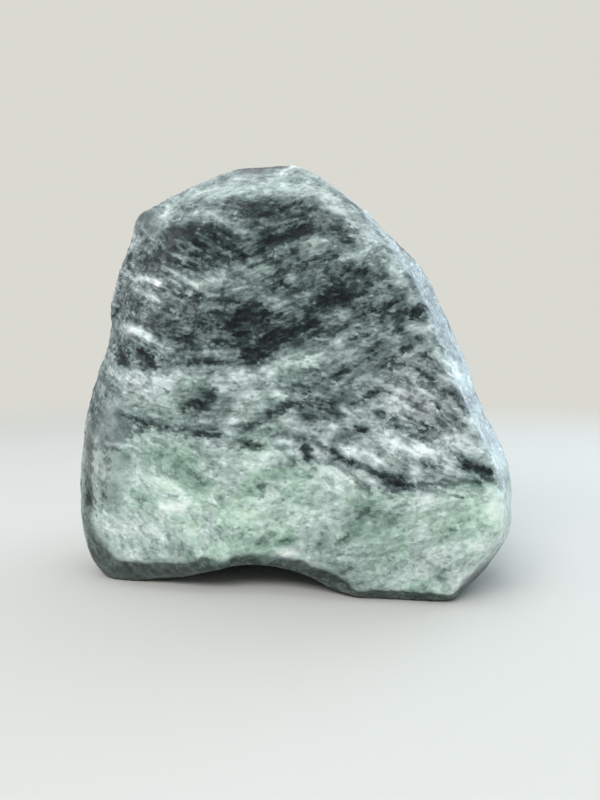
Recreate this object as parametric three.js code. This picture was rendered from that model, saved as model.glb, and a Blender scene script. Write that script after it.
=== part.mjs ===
// Raw soapstone: one natural block of talc-carbonate rock, broken from the bed and
// left as found. Millimetres, +Z up, the broad front face looks along -Y.
// The origin is the centre of the bounding box on the resting plane, z = 0.
//
// The block is one closed solid. Its form is a set of broken faces (planes whose
// meeting edges are worn round), hollowed on the underside so that it stands on
// two front lobes and a rear heel, with shallow recesses along its flanks and a
// low swell over every face.

import * as THREE from 'three';
import { mergeVertices } from 'three/addons/utils/BufferGeometryUtils.js';

// ---------------------------------------------------------------- dimensions
const WIDTH = 207;            // X, across the front, at the two foot lobes
const DEPTH = 139;            // Y, front to back
const HEIGHT = 194;           // Z, floor to crest
const EDGE_SPLITS = 21;       // splits of each edge of the icosahedron of directions
const CORE = [0, -5, 86];     // a point inside from which the whole surface is seen
const REACH = 190;            // start of the search along each direction, outside
const EVENING_PASSES = 12;    // passes that even out the triangles over the surface
const EDGE_PASSES = 3;        // passes that draw vertices onto the worn edges
const FOOT_SNAP = 0.15;       // a vertex this near the floor is on it

// Broken faces: name, outward unit normal (x, y, z), distance of the plane from the
// origin, and the width over which its edges are worn round.
const FRONT_FACES = [
  ['front_face',  -0.1239,  -0.9762,   0.1782,   62.18,  4.0],
  ['crest_right_front',   0.0276,  -0.7840,   0.6201,  133.75,  9.0],
  ['right_shoulder_front',   0.5482,  -0.5128,   0.6607,  142.06,  8.0],
  ['right_side_front',   0.7964,  -0.4574,   0.3956,  118.28,  8.0],
  ['right_low_front',   0.8245,  -0.5451,   0.1522,  115.67,  8.0],
  ['right_foot_front',   0.8897,  -0.4555,   0.0305,  111.19,  8.0],
  ['right_heel_front',   0.7001,  -0.6015,  -0.3848,   89.49,  6.0],
  ['left_heel_front',  -0.6000,  -0.7980,  -0.0630,   85.80,  2.5],
  ['left_foot_front',  -0.6571,  -0.7023,   0.2739,   99.80,  7.0],
  ['left_side_front',  -0.8532,  -0.4996,   0.1498,  103.57,  4.0],
  ['left_step_front',  -0.7978,  -0.5301,   0.2871,  112.72,  3.5],
  ['left_upper_front',  -0.7897,  -0.5533,   0.2648,  109.90,  2.0],
  ['top_left_front',  -0.4454,  -0.6945,   0.5651,  134.00,  2.0],
  ['crest_front',  -0.0719,  -0.8833,   0.4632,  107.77, 10.0],
  ['left_cheek',  -0.3845,  -0.9092,   0.1597,   75.69,  6.0],
  ['under_left',  -0.1999,  -0.9295,  -0.3098,   57.40,  2.0],
  ['under_right',  -0.1231,  -0.9808,  -0.1513,   62.94,  4.0],
  ['brow',  -0.2219,  -0.6548,   0.7225,  148.65,  6.0],
];
const BACK_FACES = [
  ['crest_right_back',   0.2716,   0.5531,   0.7876,  151.77, 10.0],
  ['right_shoulder_back',   0.6370,   0.3415,   0.6911,  138.16,  9.0],
  ['right_side_back',   0.8951,   0.2411,   0.3750,  110.31,  9.0],
  ['right_low_back',   0.9688,   0.2399,   0.0628,  103.35,  9.0],
  ['right_foot_back',   0.9361,   0.2975,  -0.1876,   83.37,  9.0],
  ['right_heel_back',   0.5150,   0.1049,  -0.8507,   34.66,  8.0],
  ['left_heel_back',  -0.6122,   0.0836,  -0.7863,   52.24,  8.0],
  ['left_foot_back',  -0.9321,   0.3617,   0.0195,  100.63,  9.0],
  ['left_side_back',  -0.9494,   0.3070,   0.0667,   99.01,  5.0],
  ['left_step_back',  -0.9190,   0.3391,   0.2011,  108.54,  5.0],
  ['left_upper_back',  -0.8967,   0.3739,   0.2369,  110.70,  2.0],
  ['top_left_back',  -0.4263,   0.4975,   0.7555,  161.60,  2.0],
  ['crest_back',   0.0392,   0.4984,   0.8661,  171.92, 10.0],
  ['back_face',   0.0994,   0.9942,  -0.0398,   63.53,  6.0],
  ['back_upper',  -0.2173,   0.7903,   0.5729,  117.49,  7.0],
  ['back_upper_right',   0.5066,   0.7498,   0.4256,  108.04,  5.0],
  ['back_left',  -0.7065,   0.7065,   0.0404,   76.65,  6.0],
  ['back_right',   0.8089,   0.5865,  -0.0404,   82.08,  6.0],
  ['back_left_low',  -0.4567,   0.7307,  -0.5074,   38.17,  6.0],
  ['back_under',   0.2229,   0.6688,  -0.7093,   27.61,  5.0],
  ['left_flank_low',  -0.8846,   0.3086,  -0.3497,   71.07,  6.0],
  ['crest_rear',   0.0507,   0.4056,   0.9126,  176.37,  6.0],
];

// Hollow of the underside, open to the front: centre, half-lengths, turn about Z (deg).
const HOLLOWS = [
  { c: [-13.9, -73.5, -9.9], s: [39.4, 80.4, 22.0], turn: 2.0, soft: 1.5 },
  { c: [-33.4, -46.5, -6.2], s: [38.7, 52.0, 10.6], turn: -11.9, soft: 2.0 },
];
// Underside: depth below the floor of the plane it was broken on, and its edge wear.
const UNDERSIDE = { depth: 1.1, worn: 1.5 };
// Rim of the right foot, broken back: height, lean (run per rise), edge wear, and the
// stretch along X over which it fades in and out.
const RIM = { height: 5.0, lean: 0.60, worn: 1.0, from: [18, 36], to: [76, 60] };
// Bevelled lip of the hollow: how far it reaches up the face and into the hollow, its
// edge wear, and how its width grows along X (base, then [step, from, to] twice).
const LIP = { tall: 8.5, deep: 4.2, worn: 1.2, base: 0.34, grow: [[0.26, -16, -2], [0.45, 2, 24]] };
// Long recesses that run back along the left and right flanks.
const FLANK_RECESSES = [
  { c: [-96.0, -4.8, 112.5], s: [8.5, 58.0, 17.0], turn: -7.0, soft: 2.2 },
  { c: [96.9, -19.8, 104.8], s: [9.0, 52.0, 30.0], turn: 8.0, soft: 3 },
];
// Wide shallow scars where flakes came off the back: sphere centre and radius.
const FLAKE_SCARS = [
  { c: [-60.3, 117.3, 175.8], r: 95, soft: 5 },
  { c: [100.6, 154.9, 65.4], r: 110, soft: 5 },
  { c: [134.4, 50.9, 139.4], r: 80, soft: 4 },
  { c: [-154.1, 25.4, 112.5], r: 70, soft: 3 },
];
// Low swell of every face: lattice size, height, seed.
const SWELL = [
  { size: 46, height: 1.7, seed: 3 },
  { size: 21, height: 0.75, seed: 8 },
];
const SWELL_ORIGIN = [-0.27, -2.78, 0.00];
const SWELL_TURN = [[0.80, 0.36, -0.48], [-0.60, 0.48, -0.64], [0.00, 0.80, 0.60]];

const FACES = [...FRONT_FACES, ...BACK_FACES];

// ------------------------------------------------------------- shape functions
// Each returns a signed distance: negative inside the rock.

function wornMax(a, b, k) {
  const h = Math.max(k - Math.abs(a - b), 0);
  return Math.max(a, b) + (h * h) / (4 * k);
}

function planes(p) {
  let d = null;
  for (const [, nx, ny, nz, dist, worn] of FACES) {
    const e = nx * p[0] + ny * p[1] + nz * p[2] - dist;
    d = d === null ? e : wornMax(d, e, worn);
  }
  return d;
}

function ellipsoid(p, { c, s, turn }) {
  const a = THREE.MathUtils.degToRad(turn);
  const dx = p[0] - c[0], dy = p[1] - c[1], dz = p[2] - c[2];
  const x = (dx * Math.cos(a) + dy * Math.sin(a)) / s[0];
  const y = (-dx * Math.sin(a) + dy * Math.cos(a)) / s[1];
  const z = dz / s[2];
  const r = Math.hypot(x, y, z);
  const g = Math.hypot(x / s[0], y / s[1], z / s[2]);
  return (r * (r - 1)) / Math.max(g, 1e-9);
}

// Smooth step from 0 at a to 1 at b.
function rise(x, a, b) {
  const s = Math.min(Math.max((x - a) / (b - a), 0), 1);
  return s * s * (3 - 2 * s);
}

function lattice(i, j, k, seed) {
  let h = (Math.imul(i, 374761393) + Math.imul(j, 668265263)
    + Math.imul(k, 1274126177) + Math.imul(seed, 974711)) >>> 0;
  h = Math.imul(h ^ (h >>> 13), 1103515245) >>> 0;
  h = (h ^ (h >>> 16)) >>> 0;
  return (h / 4294967296) * 2 - 1;
}

function valueNoise(x, y, z, seed) {
  const i = Math.floor(x), j = Math.floor(y), k = Math.floor(z);
  const ease = (t) => t * t * t * (t * (t * 6 - 15) + 10);
  const u = ease(x - i), v = ease(y - j), w = ease(z - k);
  let sum = 0;
  for (let a = 0; a < 2; a++) {
    for (let b = 0; b < 2; b++) {
      for (let c = 0; c < 2; c++) {
        sum += (a ? u : 1 - u) * (b ? v : 1 - v) * (c ? w : 1 - w)
          * lattice(i + a, j + b, k + c, seed);
      }
    }
  }
  return sum;
}

function swell(p) {
  const q = [0, 1, 2].map((i) => p[i] - SWELL_ORIGIN[i]);
  const t = SWELL_TURN.map((r) => r[0] * q[0] + r[1] * q[1] + r[2] * q[2]);
  let d = 0;
  for (const { size, height, seed } of SWELL) {
    const o = seed * 7.3;
    d += height * valueNoise((t[0] + o) / size, (t[1] + o) / size, (t[2] + o) / size, seed);
  }
  return d;
}

function rock(p) {
  let d = planes(p) + swell(p);
  for (const r of FLANK_RECESSES) d = wornMax(d, -ellipsoid(p, r), r.soft);
  for (const s of FLAKE_SCARS) {
    d = wornMax(d, s.r - Math.hypot(p[0] - s.c[0], p[1] - s.c[1], p[2] - s.c[2]), s.soft);
  }
  const rim = RIM.height * rise(p[0], ...RIM.from) * rise(p[0], ...RIM.to);
  d = wornMax(d, (d + RIM.lean * (rim - p[2])) / Math.hypot(1, RIM.lean), RIM.worn);
  d = wornMax(d, -p[2] - UNDERSIDE.depth, UNDERSIDE.worn);
  const wide = LIP.grow.reduce((sum, [step, a, b]) => sum + step * rise(p[0], a, b), LIP.base);
  for (const h of HOLLOWS) {
    const inner = -ellipsoid(p, h);
    const lip = (d / LIP.deep + inner / LIP.tall + wide) / Math.hypot(1 / LIP.deep, 1 / LIP.tall);
    d = wornMax(wornMax(d, inner, h.soft), lip, LIP.worn);
  }
  return Math.max(d, -p[2]);               // rubbed flat where it stands
}

// ---------------------------------------------------------------- the solid
function slope(p) {
  const e = 0.05;
  const g = [0, 1, 2].map((i) => {
    const a = [...p], b = [...p];
    a[i] += e; b[i] -= e;
    return (rock(a) - rock(b)) / (2 * e);
  });
  const l = Math.hypot(...g) || 1;
  return { n: g.map((v) => v / l), l };
}

function ontoSurface(p) {
  let q = [...p];
  for (let k = 0; k < 3; k++) {
    const { n, l } = slope(q);
    const d = rock(q) / Math.max(l, 0.5);
    q = q.map((v, i) => v - n[i] * d);
  }
  return q;
}

// Step 1: every vertex of a finely split icosahedron is carried out along its own
// direction to the surface. Step 2: the vertices are evened out over the surface.
// Step 3: each vertex moves to where the tangent planes of the triangles round it
// meet, which keeps the broken edges straight.
function rockGeometry() {
  const g = new THREE.IcosahedronGeometry(1, EDGE_SPLITS);
  g.deleteAttribute('normal');
  g.deleteAttribute('uv');
  const closed = mergeVertices(g, 1e-5);
  const pos = closed.getAttribute('position');
  const tri = closed.getIndex().array;
  const at = (dir, r) => [CORE[0] + dir[0] * r, CORE[1] + dir[1] * r, CORE[2] + dir[2] * r];
  let verts = [];
  for (let n = 0; n < pos.count; n++) {
    const v = new THREE.Vector3().fromBufferAttribute(pos, n).normalize();
    const dir = [v.x, v.y, v.z];
    let out = REACH;
    let inn = REACH;
    while (inn > 0 && rock(at(dir, inn)) > 0) { out = inn; inn -= 1.5; }
    for (let k = 0; k < 30; k++) {
      const mid = (out + inn) / 2;
      if (rock(at(dir, mid)) > 0) out = mid; else inn = mid;
    }
    verts.push(at(dir, inn));
  }

  const round = verts.map(() => new Set());
  const fans = verts.map(() => []);
  for (let t = 0; t < tri.length; t += 3) {
    for (let k = 0; k < 3; k++) {
      round[tri[t + k]].add(tri[t + ((k + 1) % 3)]).add(tri[t + ((k + 2) % 3)]);
      fans[tri[t + k]].push(t / 3);
    }
  }
  for (let pass = 0; pass < EVENING_PASSES; pass++) {
    verts = verts.map((p, n) => {
      const m = [0, 0, 0];
      for (const o of round[n]) for (let i = 0; i < 3; i++) m[i] += verts[o][i] / round[n].size;
      return ontoSurface(p.map((v, i) => v + 0.5 * (m[i] - v)));
    });
  }
  for (let pass = 0; pass < EDGE_PASSES; pass++) {
    const tangents = [];
    for (let t = 0; t < tri.length; t += 3) {
      const c = [0, 1, 2].map((i) =>
        (verts[tri[t]][i] + verts[tri[t + 1]][i] + verts[tri[t + 2]][i]) / 3);
      const p = ontoSurface(c);
      tangents.push({ p, n: slope(p).n });
    }
    verts = verts.map((v, n) => {
      const m = new THREE.Matrix3();
      const a = [[0, 0, 0], [0, 0, 0], [0, 0, 0]];
      const b = [0, 0, 0];
      for (const f of fans[n]) {
        const { p, n: q } = tangents[f];
        const h = q[0] * (p[0] - v[0]) + q[1] * (p[1] - v[1]) + q[2] * (p[2] - v[2]);
        for (let i = 0; i < 3; i++) {
          b[i] += q[i] * h;
          for (let j = 0; j < 3; j++) a[i][j] += q[i] * q[j];
        }
      }
      const stay = 0.03 * fans[n].length;
      for (let i = 0; i < 3; i++) a[i][i] += stay;
      m.set(...a[0], ...a[1], ...a[2]).invert();
      const s = new THREE.Vector3(...b).applyMatrix3(m).clampLength(0, 1.6);
      return [v[0] + s.x, v[1] + s.y, v[2] + s.z];
    });
  }
  verts.forEach((p, n) => pos.setXYZ(n, p[0], p[1], p[2] < FOOT_SNAP ? 0 : p[2]));

  // the origin goes exactly under the middle of the box
  closed.computeBoundingBox();
  const b = closed.boundingBox;
  closed.translate(-(b.min.x + b.max.x) / 2, -(b.min.y + b.max.y) / 2, 0);
  closed.computeVertexNormals();
  return closed;
}

const talc = new THREE.MeshStandardMaterial({ color: 0x8fa096, roughness: 0.42, metalness: 0 });
talc.name = 'soapstone';

const soapstone = new THREE.Mesh(rockGeometry(), talc);
soapstone.name = 'soapstone';
soapstone.userData.size = [WIDTH, DEPTH, HEIGHT];

const part = new THREE.Group();
part.name = 'raw_soapstone';
part.add(soapstone);

export default part;
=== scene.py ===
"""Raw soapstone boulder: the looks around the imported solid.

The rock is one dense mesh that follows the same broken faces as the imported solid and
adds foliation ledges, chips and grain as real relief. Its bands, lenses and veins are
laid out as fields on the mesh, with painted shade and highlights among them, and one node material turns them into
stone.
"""
import math

import bpy
import numpy as np
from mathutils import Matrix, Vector


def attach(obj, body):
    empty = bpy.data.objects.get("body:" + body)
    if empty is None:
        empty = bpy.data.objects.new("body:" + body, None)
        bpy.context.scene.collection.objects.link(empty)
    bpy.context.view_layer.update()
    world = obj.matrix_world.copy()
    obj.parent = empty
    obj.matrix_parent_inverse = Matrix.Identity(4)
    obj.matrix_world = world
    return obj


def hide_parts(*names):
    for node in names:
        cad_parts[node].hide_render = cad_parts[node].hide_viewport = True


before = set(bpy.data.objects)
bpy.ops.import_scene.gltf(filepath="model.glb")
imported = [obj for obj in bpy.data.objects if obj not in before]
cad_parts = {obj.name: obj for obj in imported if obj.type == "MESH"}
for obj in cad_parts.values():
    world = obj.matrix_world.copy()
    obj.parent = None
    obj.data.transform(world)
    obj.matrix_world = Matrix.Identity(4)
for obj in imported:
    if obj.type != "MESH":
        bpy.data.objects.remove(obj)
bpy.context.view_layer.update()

SEED = 7431

# ------------------------------------------------------------------ the rock's form (mm)
# Broken faces: outward normal, distance, width over which the edge is worn.
FACES = [
    (-0.1239, -0.9762, 0.1782, 62.18, 4.0),     # front_face
    (0.0276, -0.7840, 0.6201, 133.75, 9.0),     # crest_right_front
    (0.5482, -0.5128, 0.6607, 142.06, 7.0),     # right_shoulder_front
    (0.7964, -0.4574, 0.3956, 118.28, 6.0),     # right_side_front
    (0.8245, -0.5451, 0.1522, 115.67, 6.0),     # right_low_front
    (0.8897, -0.4555, 0.0305, 111.19, 6.0),     # right_foot_front
    (0.7001, -0.6015, -0.3848, 89.49, 5.0),     # right_heel_front
    (-0.6000, -0.7980, -0.0630, 85.80, 2.2),    # left_heel_front
    (-0.6571, -0.7023, 0.2739, 99.80, 5.0),     # left_foot_front
    (-0.8532, -0.4996, 0.1498, 103.57, 4.0),    # left_side_front
    (-0.7978, -0.5301, 0.2871, 112.72, 3.5),    # left_step_front
    (-0.7897, -0.5533, 0.2648, 109.90, 1.8),    # left_upper_front
    (-0.4454, -0.6945, 0.5651, 134.00, 1.8),    # top_left_front
    (-0.0719, -0.8833, 0.4632, 107.77, 8.0),    # crest_front
    (-0.3845, -0.9092, 0.1597, 75.69, 5.0),     # left_cheek
    (-0.1999, -0.9295, -0.3098, 57.40, 1.8),    # under_left
    (-0.1231, -0.9808, -0.1513, 62.94, 3.0),    # under_right
    (-0.2219, -0.6548, 0.7225, 148.65, 5.0),    # brow
    (0.2716, 0.5531, 0.7876, 151.77, 10.0),     # crest_right_back
    (0.6370, 0.3415, 0.6911, 138.16, 9.0),      # right_shoulder_back
    (0.8951, 0.2411, 0.3750, 110.31, 9.0),      # right_side_back
    (0.9688, 0.2399, 0.0628, 103.35, 9.0),      # right_low_back
    (0.9361, 0.2975, -0.1876, 83.37, 9.0),      # right_foot_back
    (0.5150, 0.1049, -0.8507, 34.66, 8.0),      # right_heel_back
    (-0.6122, 0.0836, -0.7863, 52.24, 8.0),     # left_heel_back
    (-0.9321, 0.3617, 0.0195, 100.63, 9.0),     # left_foot_back
    (-0.9494, 0.3070, 0.0667, 99.01, 5.0),      # left_side_back
    (-0.9190, 0.3391, 0.2011, 108.54, 5.0),     # left_step_back
    (-0.8967, 0.3739, 0.2369, 110.70, 1.5),     # left_upper_back
    (-0.4263, 0.4975, 0.7555, 161.60, 1.5),     # top_left_back
    (0.0392, 0.4984, 0.8661, 171.92, 8.0),      # crest_back
    (0.0994, 0.9942, -0.0398, 63.53, 4.0),      # back_face
    (-0.2173, 0.7903, 0.5729, 117.49, 4.0),     # back_upper
    (0.5066, 0.7498, 0.4256, 108.04, 3.5),      # back_upper_right
    (-0.7065, 0.7065, 0.0404, 76.65, 4.0),      # back_left
    (0.8089, 0.5865, -0.0404, 82.08, 4.0),      # back_right
    (-0.4567, 0.7307, -0.5074, 38.17, 4.0),     # back_left_low
    (0.2229, 0.6688, -0.7093, 27.61, 4.0),      # back_under
    (-0.8846, 0.3086, -0.3497, 71.07, 4.0),     # left_flank_low
    (0.0507, 0.4056, 0.9126, 176.37, 5.0),      # crest_rear
]
BEVELS = (7, 15)                                    # broken back under the left foot
UNDERSIDE, UNDER_WORN = 1.10, 1.5
RIM_HEIGHT, RIM_LEAN, RIM_SOFT = 5.0, 0.60, 1.0     # the right foot's rim is broken back
LIP_TALL, LIP_DEEP, LIP_SOFT = 8.5, 4.2, 1.2        # and the arch has a bevelled lip
HOLLOWS = [
    ((-13.9, -73.5, -9.9), (39.4, 80.4, 22.0), 2.0, 1.5),
    ((-33.4, -46.5, -6.2), (38.7, 52.0, 10.6), -11.9, 2.0),
]
RECESSES = [
    ((-96.0, -4.8, 112.5), (8.5, 58.0, 17.0), -7.0, 2.2),
    ((96.9, -19.8, 104.8), (9.0, 52.0, 30.0), 8.0, 3.0),
]
SCARS = [
    ((-60.3, 117.3, 175.8), 95.0, 4.0),
    ((100.6, 154.9, 65.4), 110.0, 4.0),
    ((134.4, 50.9, 139.4), 80.0, 4.0),
    ((-154.1, 25.4, 112.5), 70.0, 3.0),
]
SWELL = [(46.0, 1.7, 3), (21.0, 0.75, 8)]
SWELL_ORIGIN = np.array([-0.27, -2.78, 0.0])
SWELL_TURN = np.array([[0.80, 0.36, -0.48], [-0.60, 0.48, -0.64], [0.00, 0.80, 0.60]])
CORE = np.array([0.0, -5.0, 86.0])
PLACE = np.array([0.038, -0.098, 0.0])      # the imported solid's own last centring


def worn_max(a, b, k):
    h = np.maximum(k - np.abs(a - b), 0)
    return np.maximum(a, b) + h * h / (4 * k)


def lattice(i, j, k, seed):
    m = np.uint64(0xFFFFFFFF)
    h = (i * 374761393 + j * 668265263 + k * 1274126177 + seed * 974711) & 0xFFFFFFFF
    h = h.astype(np.uint64)
    h = ((h ^ (h >> np.uint64(13))) * np.uint64(1103515245)) & m
    h = h ^ (h >> np.uint64(16))
    return h.astype(np.float64) / 4294967296.0 * 2 - 1


def value_noise(q, seed):
    f = np.floor(q)
    i = f.astype(np.int64)
    t = q - f
    w = t * t * t * (t * (t * 6 - 15) + 10)
    out = 0
    for dx in (0, 1):
        wx = w[:, 0] if dx else 1 - w[:, 0]
        for dy in (0, 1):
            wy = w[:, 1] if dy else 1 - w[:, 1]
            for dz in (0, 1):
                wz = w[:, 2] if dz else 1 - w[:, 2]
                out = out + wx * wy * wz * lattice(i[:, 0] + dx, i[:, 1] + dy, i[:, 2] + dz, seed)
    return out


def fbm(q, seed, octaves=3, gain=0.5):
    out, amp, tot = 0, 1.0, 0.0
    for o in range(octaves):
        out = out + amp * value_noise(q * 2.03 ** o + 17.3 * o, seed + 31 * o)
        tot += amp
        amp *= gain
    return out / tot


def ellipsoid(p, c, s, turn):
    a = math.radians(turn)
    d = p - np.array(c)
    x = (d[:, 0] * math.cos(a) + d[:, 1] * math.sin(a)) / s[0]
    y = (-d[:, 0] * math.sin(a) + d[:, 1] * math.cos(a)) / s[1]
    z = d[:, 2] / s[2]
    r = np.sqrt(x * x + y * y + z * z)
    g = np.sqrt((x / s[0]) ** 2 + (y / s[1]) ** 2 + (z / s[2]) ** 2)
    return r * (r - 1) / np.maximum(g, 1e-9)


FN = np.array([f[:3] for f in FACES])
FD = np.array([f[3] for f in FACES])


def rise(x, a, b):
    s = np.clip((x - a) / (b - a), 0, 1)
    return s * s * (3 - 2 * s)


def rock(p, plain=False):
    e = p @ FN.T - FD
    d = e[:, 0]
    for i in range(1, len(FACES)):
        if not (plain and i in BEVELS):
            d = worn_max(d, e[:, i], FACES[i][4])
    q = (p - SWELL_ORIGIN) @ SWELL_TURN.T
    for size, height, seed in SWELL:
        d = d + height * value_noise((q + seed * 7.3) / size, seed)
    for c, s, turn, soft in RECESSES:
        d = worn_max(d, -ellipsoid(p, c, s, turn), soft)
    for c, r, soft in SCARS:
        d = worn_max(d, r - np.linalg.norm(p - np.array(c), axis=1), soft)
    rim = RIM_HEIGHT * rise(p[:, 0], 18.0, 36.0) * rise(p[:, 0], 76.0, 60.0)
    if not plain:
        d = worn_max(d, (d + RIM_LEAN * (rim - p[:, 2])) / math.hypot(1, RIM_LEAN), RIM_SOFT)
    d = worn_max(d, -p[:, 2] - UNDERSIDE, UNDER_WORN)
    for c, s, turn, soft in HOLLOWS:
        inner = -ellipsoid(p, c, s, turn)
        wide = 0.34 + 0.26 * rise(p[:, 0], -16.0, -2.0) + 0.45 * rise(p[:, 0], 2.0, 24.0)
        lip = (d / LIP_DEEP + inner / LIP_TALL + wide) / math.hypot(1 / LIP_DEEP, 1 / LIP_TALL)
        d = worn_max(d, inner, soft)
        if not plain:
            d = worn_max(d, lip, LIP_SOFT)
    return np.maximum(d, -p[:, 2])


def slope(p, e=0.08):
    g = np.stack([rock(p + np.eye(3)[i] * e) - rock(p - np.eye(3)[i] * e) for i in range(3)], 1)
    return g / np.maximum(np.linalg.norm(g, axis=1, keepdims=True), 1e-9)


# ------------------------------------------------------------------ the dense mesh
def ico(n):
    g = (1 + 5 ** 0.5) / 2
    v = np.array([(-1, g, 0), (1, g, 0), (-1, -g, 0), (1, -g, 0), (0, -1, g), (0, 1, g),
                  (0, -1, -g), (0, 1, -g), (g, 0, -1), (g, 0, 1), (-g, 0, -1), (-g, 0, 1)], float)
    f = [(0, 11, 5), (0, 5, 1), (0, 1, 7), (0, 7, 10), (0, 10, 11), (1, 5, 9), (5, 11, 4), (11, 10, 2),
         (10, 7, 6), (7, 1, 8), (3, 9, 4), (3, 4, 2), (3, 2, 6), (3, 6, 8), (3, 8, 9), (4, 9, 5),
         (2, 4, 11), (6, 2, 10), (8, 6, 7), (9, 8, 1)]
    pts, tri = [], []
    for a, b, c in f:
        base, idx = len(pts), {}
        for i in range(n + 1):
            for j in range(n + 1 - i):
                idx[i, j] = base + len(idx)
                pts.append((v[a] * (n - i - j) + v[b] * i + v[c] * j) / n)
        for i in range(n):
            for j in range(n - i):
                tri.append((idx[i, j], idx[i + 1, j], idx[i, j + 1]))
                if i + j < n - 1:
                    tri.append((idx[i + 1, j], idx[i + 1, j + 1], idx[i, j + 1]))
    pts = np.array(pts)
    pts /= np.linalg.norm(pts, axis=1, keepdims=True)
    key, first, inv = np.unique(np.round(pts, 6), axis=0, return_index=True, return_inverse=True)
    return pts[first], inv.reshape(-1)[np.array(tri)]


def edges_of(tri):
    e = np.sort(np.concatenate([tri[:, [0, 1]], tri[:, [1, 2]], tri[:, [2, 0]]]), axis=1)
    u, inv = np.unique(e, axis=0, return_inverse=True)
    return u, inv.reshape(-1).reshape(3, -1).T


def split(v, tri):
    u, per = edges_of(tri)
    mid = (v[u[:, 0]] + v[u[:, 1]]) / 2
    m = per + len(v)
    a, b, c = tri.T
    ab, bc, ca = m[:, 0], m[:, 1], m[:, 2]
    return np.concatenate([v, mid]), np.concatenate([
        np.stack([a, ab, ca], 1), np.stack([b, bc, ab], 1), np.stack([c, ca, bc], 1), np.stack([ab, bc, ca], 1)])


def average_round(v, u, n):
    s = np.stack([np.bincount(u[:, 0], v[u[:, 1], k], n) + np.bincount(u[:, 1], v[u[:, 0], k], n) for k in range(3)], 1)
    c = np.bincount(u[:, 0], minlength=n) + np.bincount(u[:, 1], minlength=n)
    return s / c[:, None]


def onto(v, rounds=2):
    for _ in range(rounds):
        v = v - slope(v) * rock(v)[:, None]
    return v


def rock_mesh():
    d, tri = ico(24)
    d = d + np.array([0.0, -0.22, 0.0])           # a little finer towards the front
    d /= np.linalg.norm(d, axis=1, keepdims=True)
    out = np.full(len(d), 190.0)
    r = out.copy()
    live = np.ones(len(d), bool)
    for _ in range(160):                           # inwards until the surface is crossed
        val = rock(CORE + d[live] * r[live, None])
        i = np.where(live)[0]
        hit = val <= 0
        live[i[hit]] = False
        go = i[~hit]
        out[go] = r[go]
        r[go] -= 1.5
        if not live.any():
            break
    inn = r
    for _ in range(22):
        mid = (out + inn) / 2
        inside = rock(CORE + d * mid[:, None]) <= 0
        inn = np.where(inside, mid, inn)
        out = np.where(inside, out, mid)
    v = CORE + d * inn[:, None]
    u, _ = edges_of(tri)
    for _ in range(14):
        v = onto(v + 0.5 * (average_round(v, u, len(v)) - v), 1)
    v = onto(v)
    for passes in (5, 2):
        v, tri = split(v, tri)
        u, _ = edges_of(tri)
        v = onto(v, 1)
        for _ in range(passes):
            v = onto(v + 0.5 * (average_round(v, u, len(v)) - v), 1)
    v = onto(v, 1)
    return v, tri


V0, TRI = rock_mesh()
N0 = slope(V0)
EDGE, _ = edges_of(TRI)
NV = len(V0)


def smooth(a, rounds):
    for _ in range(rounds):
        s = np.bincount(EDGE[:, 0], a[EDGE[:, 1]], NV) + np.bincount(EDGE[:, 1], a[EDGE[:, 0]], NV)
        c = np.bincount(EDGE[:, 0], minlength=NV) + np.bincount(EDGE[:, 1], minlength=NV)
        a = 0.5 * a + 0.5 * s / c
    return a


def ramp(x, a, b):
    t = np.clip((x - a) / (b - a), 0, 1)
    return t * t * (3 - 2 * t)


# ------------------------------------------------------------------ foliation
# Three sets of bands: one falls to the right, one climbs to the right, one lies nearly flat.
# Each set has its own coordinates (u along the band, v across it, w into the rock), and
# the weights say which set rules at each place.
FALLS = [(-55, 142), (-65, 133), (-41, 136), (-68, 153), (-29, 152), (25, 161), (32, 154), (60, 84), (52, 71), (69, 94), (71, 76), (26, 58), (79, 56), (16, 62), (43, 59), (-63, 52), (-47, 42), (-72, 29), (-78, 51), (-37, 26), (-82, 17), (-69, 112), (-63, 101), (-49, 59)]
CLIMBS = [(-3, 155), (5, 163), (-12, 145), (5, 132), (18, 127), (27, 134), (40, 141), (35, 123), (49, 126), (5, 112), (-9, 104), (18, 105), (-4, 79), (27, 85), (33, 97), (44, 107), (13, 33), (38, 34), (63, 34), (75, 41), (47, 18), (26, 22), (5, 39), (71, 24), (-12, 23), (57, 118), (-18, 132)]
FLAT = [(-18, 171), (-41, 160), (-40, 118), (-49, 110), (-31, 106), (-22, 119), (-45, 96), (-40, 87), (-40, 81), (-17, 71), (-57, 72), (-23, 65), (5, 84), (13, 93), (57, 48), (72, 49), (-16, 44), (-26, 53), (-9, 92), (-31, 101), (36, 82), (50, 100), (25, 73), (43, 91)]
TALC_EDGE = [(-105, 54), (-83, 61), (-68, 65), (-56, 68), (-40, 66), (-26, 62), (-12, 61), (0, 62), (9, 58), (20, 57), (32, 50), (45, 47), (59, 47), (73, 49), (96, 47)]
DARK_EDGE = [(-94, 99), (-76, 98), (-58, 96), (-40, 95), (-22, 95), (-14, 98), (-6, 103), (3, 107), (14, 108), (24, 110), (35, 112), (48, 111), (61, 107), (73, 103)]
TOP_EDGE = [(-70, 172), (-53, 172), (-35, 172), (-23, 176), (-4, 176), (13, 175), (25, 172)]
DIP = 0.24


def band_frame(p, tilt, x0, steepen=0.0, seed=1):
    a = math.radians(tilt) + steepen * np.clip(95.0 - p[:, 2], -60, 90) / 90.0
    x, z = p[:, 0] - x0, p[:, 2] - 95.0
    bend = 2.6 * fbm(p / 42.0, seed, 2) + 0.55 * fbm(p / 15.0, seed + 5, 2)
    u = x * np.cos(a) + z * np.sin(a)
    v = -x * np.sin(a) + z * np.cos(a) - DIP * p[:, 1] + bend
    return np.stack([u, v, p[:, 1] + 4.0 * fbm(p / 30.0, seed + 9, 2)], 1)


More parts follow.
